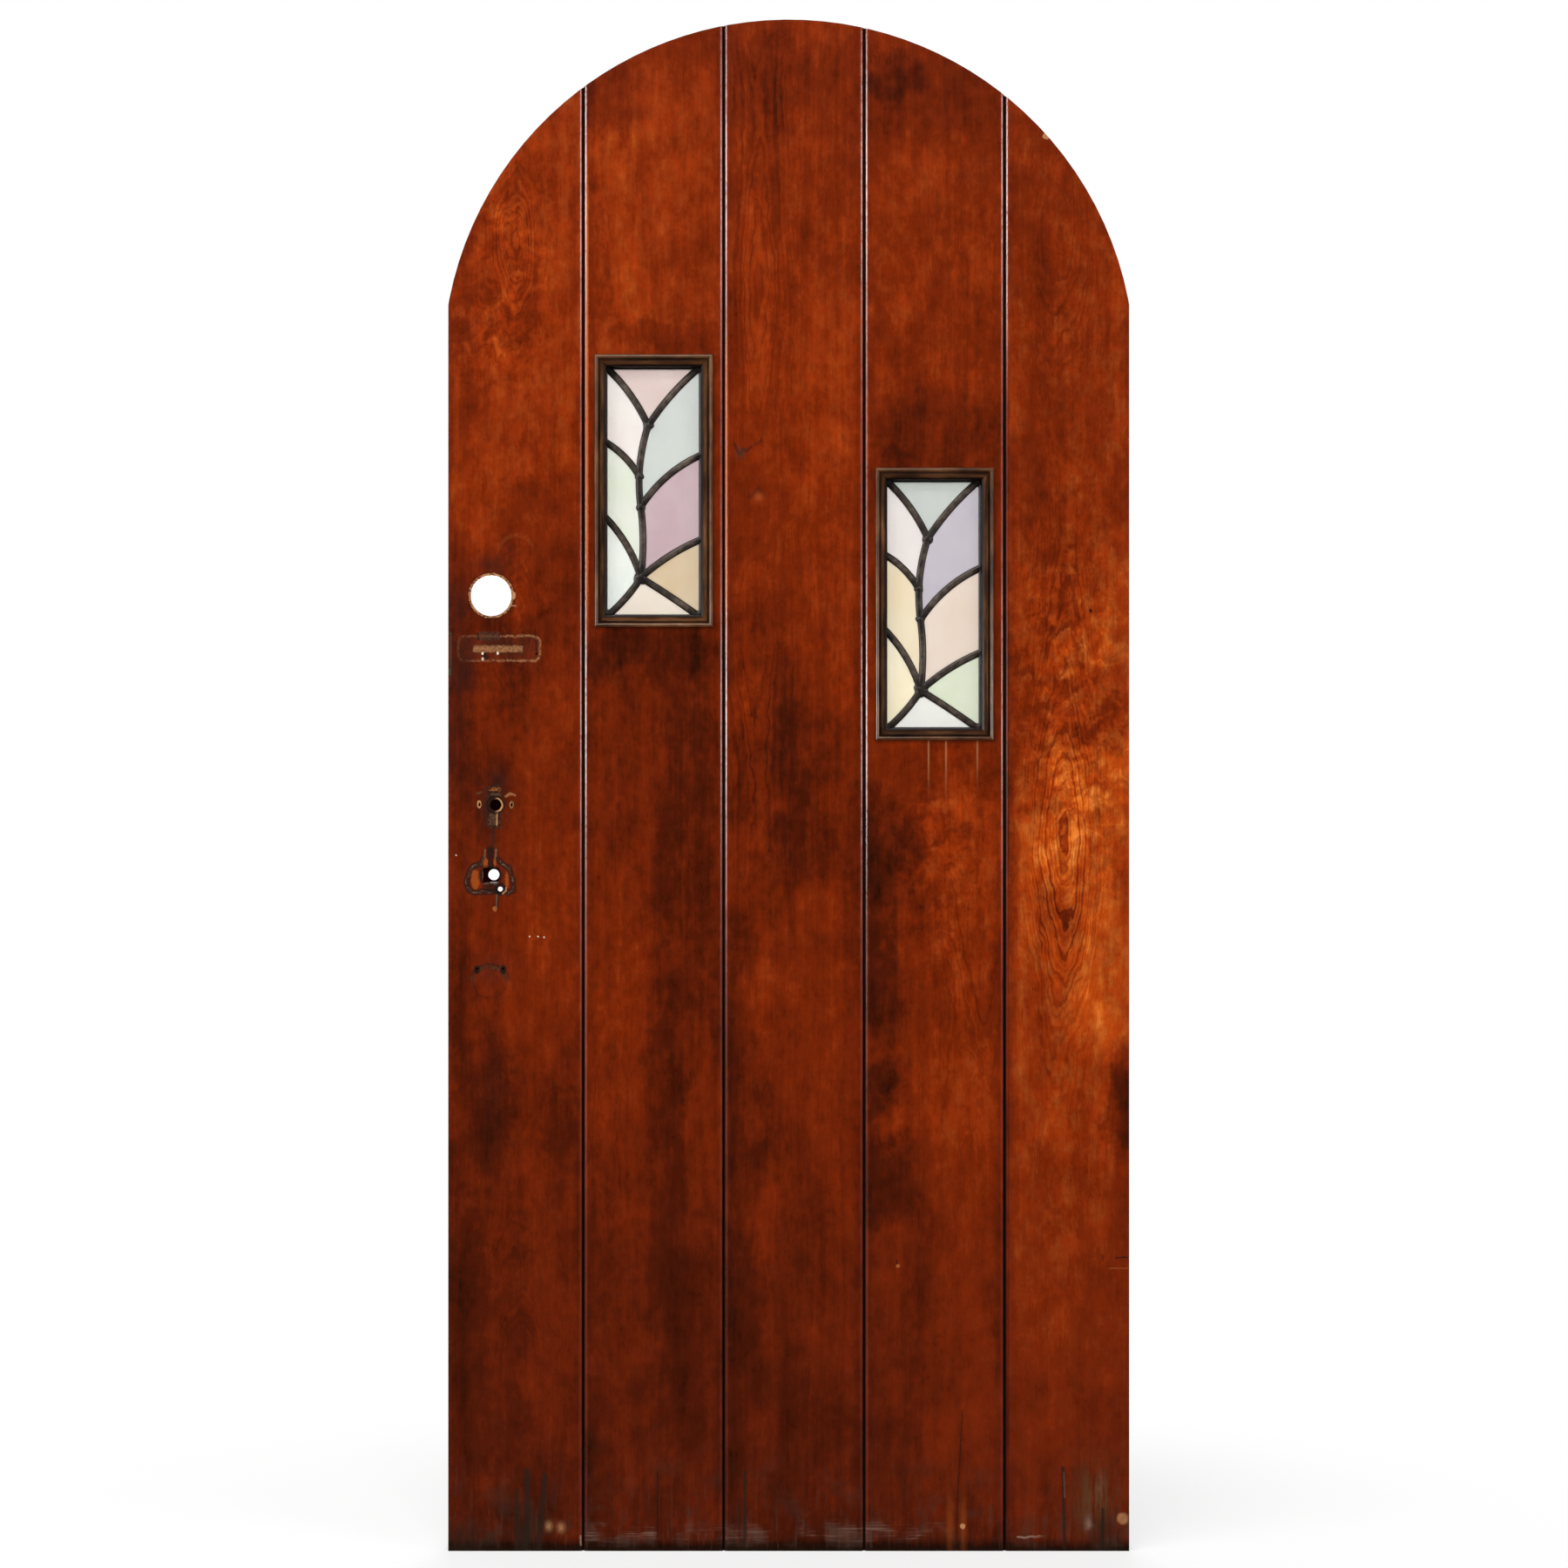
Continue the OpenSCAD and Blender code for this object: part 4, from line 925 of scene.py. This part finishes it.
# Each pane's two colours
GLASS = {
    "upper_pane_crown": ((226, 208, 201), (218, 196, 190)),
    "upper_pane_high_left": ((241, 235, 229), (236, 226, 220)),
    "upper_pane_high_right": ((211, 216, 209), (205, 208, 205)),
    "upper_pane_mid_left": ((225, 231, 212), (233, 234, 223)),
    "upper_pane_mid_right": ((199, 174, 179), (206, 184, 186)),
    "upper_pane_low_left": ((240, 243, 235), (231, 237, 230)),
    "upper_pane_low_right": ((215, 191, 157), (220, 203, 174)),
    "upper_pane_foot": ((239, 228, 214), (234, 222, 207)),
    "lower_pane_crown": ((198, 204, 197), (204, 208, 203)),
    "lower_pane_high_left": ((232, 225, 221), (236, 230, 226)),
    "lower_pane_high_right": ((197, 190, 198), (203, 196, 202)),
    "lower_pane_mid_left": ((237, 220, 187), (240, 227, 199)),
    "lower_pane_mid_right": ((233, 217, 203), (230, 212, 196)),
    "lower_pane_low_left": ((251, 241, 214), (247, 235, 204)),
    "lower_pane_low_right": ((220, 227, 202), (226, 231, 212)),
    "lower_pane_foot": ((238, 237, 230), (232, 231, 226)),
}


def spot_on_panel(across, up):
    """A point on a leaded panel, from -1 to 1 each way."""
    return np.array([across * PANEL_W / 2, up * PANEL_H / 2])


def arc_points(start, end, bulge, shares):
    """Points on a circle that bulges to the left by a share of its chord: -1 is its start and 1 its end."""
    chord = np.linalg.norm(end - start)
    along = (end - start) / chord
    side = np.array([-along[1], along[0]]) * np.sign(bulge)
    half = 2 * math.atan(2 * abs(bulge))
    radius = chord / (2 * math.sin(half))
    middle = (start + end) / 2 - side * radius * math.cos(half)
    turn = (shares * half)[:, None]
    return middle + radius * (along * np.sin(turn) + side * np.cos(turn))


# The stem and the leaves of the lead drawing, with the same numbers as the part's source
FORK = spot_on_panel(-0.096, 0.51)
KNEE = spot_on_panel(-0.234, -0.116)
ROOT = spot_on_panel(-0.233, -0.661)
BRANCH = arc_points(FORK, KNEE, -0.057, np.array([0.25]))[0]
LEAD_LINES = (
    (FORK, KNEE, -0.057),
    (KNEE, ROOT, 0.032),
    (spot_on_panel(-1, 1), FORK, 0.058),
    (spot_on_panel(1, 1), FORK, -0.042),
    (spot_on_panel(-1, 0.406), BRANCH, 0.075),
    (spot_on_panel(1, 0.301), KNEE, -0.08),
    (spot_on_panel(-1, -0.157), ROOT, 0.068),
    (spot_on_panel(1, -0.351), ROOT, -0.046),
    (ROOT, spot_on_panel(-1, -1), 0.045),
    (ROOT, spot_on_panel(1, -1), 0.011),
)
SOLDER_AT = (FORK, BRANCH, KNEE, ROOT)
SOLDER_R = (0.0078, 0.0066, 0.0068, 0.0098)
SOLDER_HALF_T = 0.0035
CORNER_SOLDER_R = 0.007
CORNER_SOLDER_HALF_T = 0.0033
CORNER_INSET = 0.004
NEAR_CORNER = 0.001
HAIR = 0.0001
LINE_PAST_END = 1.02
POLE_TILT = 0.06
SQUARENESS = 0.8


def skin(rings):
    """The faces of a stack of closed rings: quads between neighbours and a cap on each end ring."""
    rows, around = rings.shape[:2]
    row, col = np.meshgrid(np.arange(rows - 1), np.arange(around), indexing="ij")
    nxt = (col + 1) % around
    corners = [row * around + col, (row + 1) * around + col, (row + 1) * around + nxt, row * around + nxt]
    quads = np.stack(corners, axis=-1).reshape(-1, 4)
    last = (rows - 1) * around
    caps = np.stack([np.arange(around), np.arange(around)[::-1] + last])
    return quads, caps


def tube(path, half_w, half_t, around=20):
    """Rings along a flat path, half_w across it and half_t through it.

    The section is an oval a little squarer than an ellipse: the sine and the cosine of the turn,
    each raised to a power below one.
    """
    step = np.gradient(path, axis=0)
    step /= np.linalg.norm(step, axis=1)[:, None]
    across = np.stack([-step[:, 1], step[:, 0]], axis=1)
    turn = np.linspace(0, 2 * math.pi, around, endpoint=False)
    out = np.sign(np.cos(turn)) * np.abs(np.cos(turn)) ** SQUARENESS * half_w
    deep = np.sign(np.sin(turn)) * np.abs(np.sin(turn)) ** SQUARENESS * half_t
    flat = path[:, None, :] + across[:, None, :] * out[None, :, None]
    rings = np.empty((len(path), around, 3))
    rings[:, :, 0] = flat[:, :, 0]
    rings[:, :, 1] = deep[None, :]
    rings[:, :, 2] = flat[:, :, 1]
    return rings


def blob(at, half_w, half_t, seed, rows=12, around=24):
    """Rings of a flattened ball of solder, from its back to its front.

    A ring's radius is the sine of its tilt, and two sine waves round it make its rim uneven.
    """
    tilt = np.linspace(POLE_TILT, math.pi - POLE_TILT, rows)[:, None]
    turn = np.linspace(2 * math.pi, 0, around, endpoint=False)[None, :]
    wave = 1 + 0.1 * np.sin(3 * turn + seed) + 0.06 * np.sin(5 * turn + 2 * seed)
    rings = np.empty((rows, around, 3))
    rings[:, :, 0] = at[0] + half_w * wave * np.sin(tilt) * np.cos(turn)
    rings[:, :, 1] = half_t * np.cos(tilt)
    rings[:, :, 2] = at[1] + half_w * wave * np.sin(tilt) * np.sin(turn)
    return rings


def make_mesh(name, stacks, at, material):
    """Joins stacks of rings into one smooth piece, moved to a light's middle."""
    points = np.concatenate([rings.reshape(-1, 3) for rings in stacks])
    points[:, 0] += at[0]
    points[:, 2] += at[1]
    faces = []
    count = 0
    for rings in stacks:
        for group in skin(rings):
            faces.extend((group + count).tolist())
        count += rings[:, :, 0].size
    mesh = bpy.data.meshes.new(name)
    mesh.from_pydata(points.tolist(), [], faces)
    mesh.validate()
    mesh.update()
    mesh.polygons.foreach_set("use_smooth", np.ones(len(mesh.polygons), dtype=bool))
    mesh.materials.append(material)
    piece = bpy.data.objects.new(name, mesh)
    bpy.context.scene.collection.objects.link(piece)
    return piece


def lead_came(name, at, material, seed):
    """The lead of one light: a border and rounded strips along the drawing, with solder at the joints."""
    pieces = []
    shares = np.linspace(-LINE_PAST_END, LINE_PAST_END, 40)
    for start, end, bulge in LEAD_LINES:
        pieces.append(tube(arc_points(start, end, bulge, shares), CAME_W / 2, CAME_T / 2))
    half_w = PANEL_W / 2 - CAME_W / 2
    half_h = PANEL_H / 2 - CAME_W / 2
    run = np.linspace(-1, 1, 24)[:, None]
    for side in (-1, 1):
        upright = np.hstack([np.full_like(run, side * half_w), run * (half_h + CAME_W / 2)])
        level = np.hstack([run * (half_w + CAME_W / 2), np.full_like(run, side * half_h)])
        pieces.append(tube(upright, CAME_W / 2, CAME_T / 2))
        pieces.append(tube(level, CAME_W / 2, CAME_T / 2 - HAIR))
    for index, (joint, radius) in enumerate(zip(SOLDER_AT, SOLDER_R)):
        pieces.append(blob(joint, radius, SOLDER_HALF_T, seed + index))
    for index, (start, end, bulge) in enumerate(LEAD_LINES):
        for tip in (start, end):
            if np.all(np.abs(np.abs(tip) - (PANEL_W / 2, PANEL_H / 2)) < NEAR_CORNER):
                inmost = (half_w - CORNER_INSET, half_h - CORNER_INSET)
                inside = np.sign(tip) * np.minimum(np.abs(tip), inmost)
                pieces.append(blob(inside, CORNER_SOLDER_R, CORNER_SOLDER_HALF_T, seed + index + 7))
    piece = make_mesh(name + "_rounded", pieces, at, material)
    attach(piece, "root")
    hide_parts(name)
    return piece


def dress(obj, material):
    """Gives a CAD node one material."""
    obj.data.materials.clear()
    obj.data.materials.append(material)


for plank in PLANKS:
    dress(nodes[plank.node], plank_paint(plank))
upright_bead = bead_paint("upright_bead_dark", 160.0, 22.0)
level_bead = bead_paint("level_bead_dark", 22.0, 160.0)
for name, obj in nodes.items():
    if "_bead_" in name:
        dress(obj, level_bead if name.endswith(("_top", "_bottom")) else upright_bead)
    if name in GLASS:
        dress(obj, glass_paint(name, *GLASS[name]))
dress(nodes["bead_brads"], steel_paint())
for light, at, seed in (("upper", UPPER_LIGHT, 1.0), ("lower", LOWER_LIGHT, 4.0)):
    lead_came(light + "_lead_came", at, lead_paint(light + "_lead", at), seed)


# The stage: soft lamps at the sides, in front and behind, a pale floor and a white surround
def lamp(name, at, aim, wide, high, power, through_glass=True):
    """A soft rectangular lamp that faces a point, and may be hidden from a look through glass."""
    data = bpy.data.lights.new(name, "AREA")
    data.shape = "RECTANGLE"
    data.size = wide
    data.size_y = high
    data.energy = power
    obj = bpy.data.objects.new(name, data)
    obj.location = at
    obj.visible_transmission = through_glass
    obj.rotation_euler = (Vector(aim) - Vector(at)).to_track_quat("-Z", "Y").to_euler()
    bpy.context.scene.collection.objects.link(obj)


SIDE_LAMP_X = 3.2
SIDE_LAMP_Y = -3.1
SIDE_LAMP_W = 2.3
for name, side, lamp_z, aim_z, high, power in (
    ("left_high_softbox", -1, 2.53, 1.25, 0.4, 66),
    ("left_low_softbox", -1, 1.19, 1.05, 0.3, 62),
    ("right_high_softbox", 1, 2.53, 1.25, 0.44, 33),
    ("right_low_softbox", 1, 1.19, 1.05, 0.32, 26),
):
    lamp(name, (side * SIDE_LAMP_X, SIDE_LAMP_Y, lamp_z), (0, 0, aim_z), SIDE_LAMP_W, high, power)
lamp("front_softbox", (-0.6, -3.6, 4.7), (0, 0, 1.2), 2.6, 1.2, 135)
lamp("back_softbox", (0.3, 4.2, 1.8), (0, 0, 1.2), 2.4, 2.4, 150, False)

FLOOR_FRONT = -1.6
FLOOR_BACK = 1.6
FLOOR_SIDE = 1.8
floor_mesh = bpy.data.meshes.new("floor")
floor_mesh.from_pydata(
    [(-FLOOR_SIDE, FLOOR_FRONT, 0), (FLOOR_SIDE, FLOOR_FRONT, 0),
     (FLOOR_SIDE, FLOOR_BACK, 0), (-FLOOR_SIDE, FLOOR_BACK, 0)],
    [],
    [(0, 1, 2, 3)],
)
floor = bpy.data.objects.new("floor", floor_mesh)
bpy.context.scene.collection.objects.link(floor)


def floor_paint():
    """A white floor whose shadow stays faint and fades out all round, and which the varnish hardly shows."""
    paint = Paint("floor_white")
    x, y, _ = paint.place()
    fade = paint.step((x ** 2.0 + y ** 2.0) ** 0.5, 0.55, 1.25)
    seen = paint.value("ShaderNodeLightPath", output="Is Camera Ray")
    mirrored = paint.value("ShaderNodeLightPath", output="Is Glossy Ray")
    matte = paint.node("ShaderNodeBsdfDiffuse", None, {"Color": (0.92, 0.92, 0.92, 1)})
    white = paint.node("ShaderNodeEmission", None, {"Strength": 1.0})
    dark = paint.node("ShaderNodeEmission", None, {"Strength": 0.03})
    plain = paint.blend(seen * (0.6 + fade * 0.4), matte, white)
    paint.finish(paint.blend(mirrored, plain, dark))
    return paint.material


floor_mesh.materials.append(floor_paint())

# How bright the room is for light that the camera doesn't see
ROOM_GREY = 0.28


def white_surround():
    """White wherever the camera or a look through glass goes, and a soft grey room for other light.

    A reflection sees white behind the leaf and next to nothing in front of it.
    """
    world = bpy.data.worlds.new("studio")
    bpy.context.scene.world = world
    world.use_nodes = True
    room = NodeTree(world.node_tree)
    way = room.value("ShaderNodeTexCoord", output="Generated")
    toward_back = room.value("ShaderNodeSeparateXYZ", None, {0: way}, "Y")
    sockets = {"Value": toward_back, "From Min": -0.1, "From Max": 0.3, "To Min": 0.02, "To Max": 1.0}
    behind = room.value("ShaderNodeMapRange", None, sockets)
    mirrored = room.value("ShaderNodeLightPath", output="Is Glossy Ray")
    through = room.value("ShaderNodeLightPath", output="Is Transmission Ray")
    seen = room.value("ShaderNodeLightPath", output="Is Camera Ray").most(through)
    unseen = ROOM_GREY + (behind - ROOM_GREY) * mirrored
    white = room.node("ShaderNodeBackground", None, {"Color": (1, 1, 1, 1), "Strength": unseen.most(seen)})
    output = room.node("ShaderNodeOutputWorld")
    room.tree.links.new(white.outputs[0], output.inputs["Surface"])


white_surround()

# The camera: square to the leaf and a little left of it, so that no wall of the bores shows
CAMERA_X = -0.3
CAMERA_BACK = 5.0
VIEW_X = -0.0063
VIEW_Z = 1.0157
VIEW_W = 2.0763
SENSOR_W = 36
camera_data = bpy.data.cameras.new("camera")
camera_data.sensor_width = SENSOR_W
camera_data.lens = SENSOR_W * (CAMERA_BACK + FRONT_Y) / VIEW_W
camera_data.shift_x = (VIEW_X - CAMERA_X) / VIEW_W
camera = bpy.data.objects.new("camera", camera_data)
camera.location = (CAMERA_X, -CAMERA_BACK, VIEW_Z)
camera.rotation_euler = (math.pi / 2, 0, 0)
bpy.context.scene.collection.objects.link(camera)
bpy.context.scene.camera = camera
bpy.context.scene.view_settings.view_transform = "Standard"
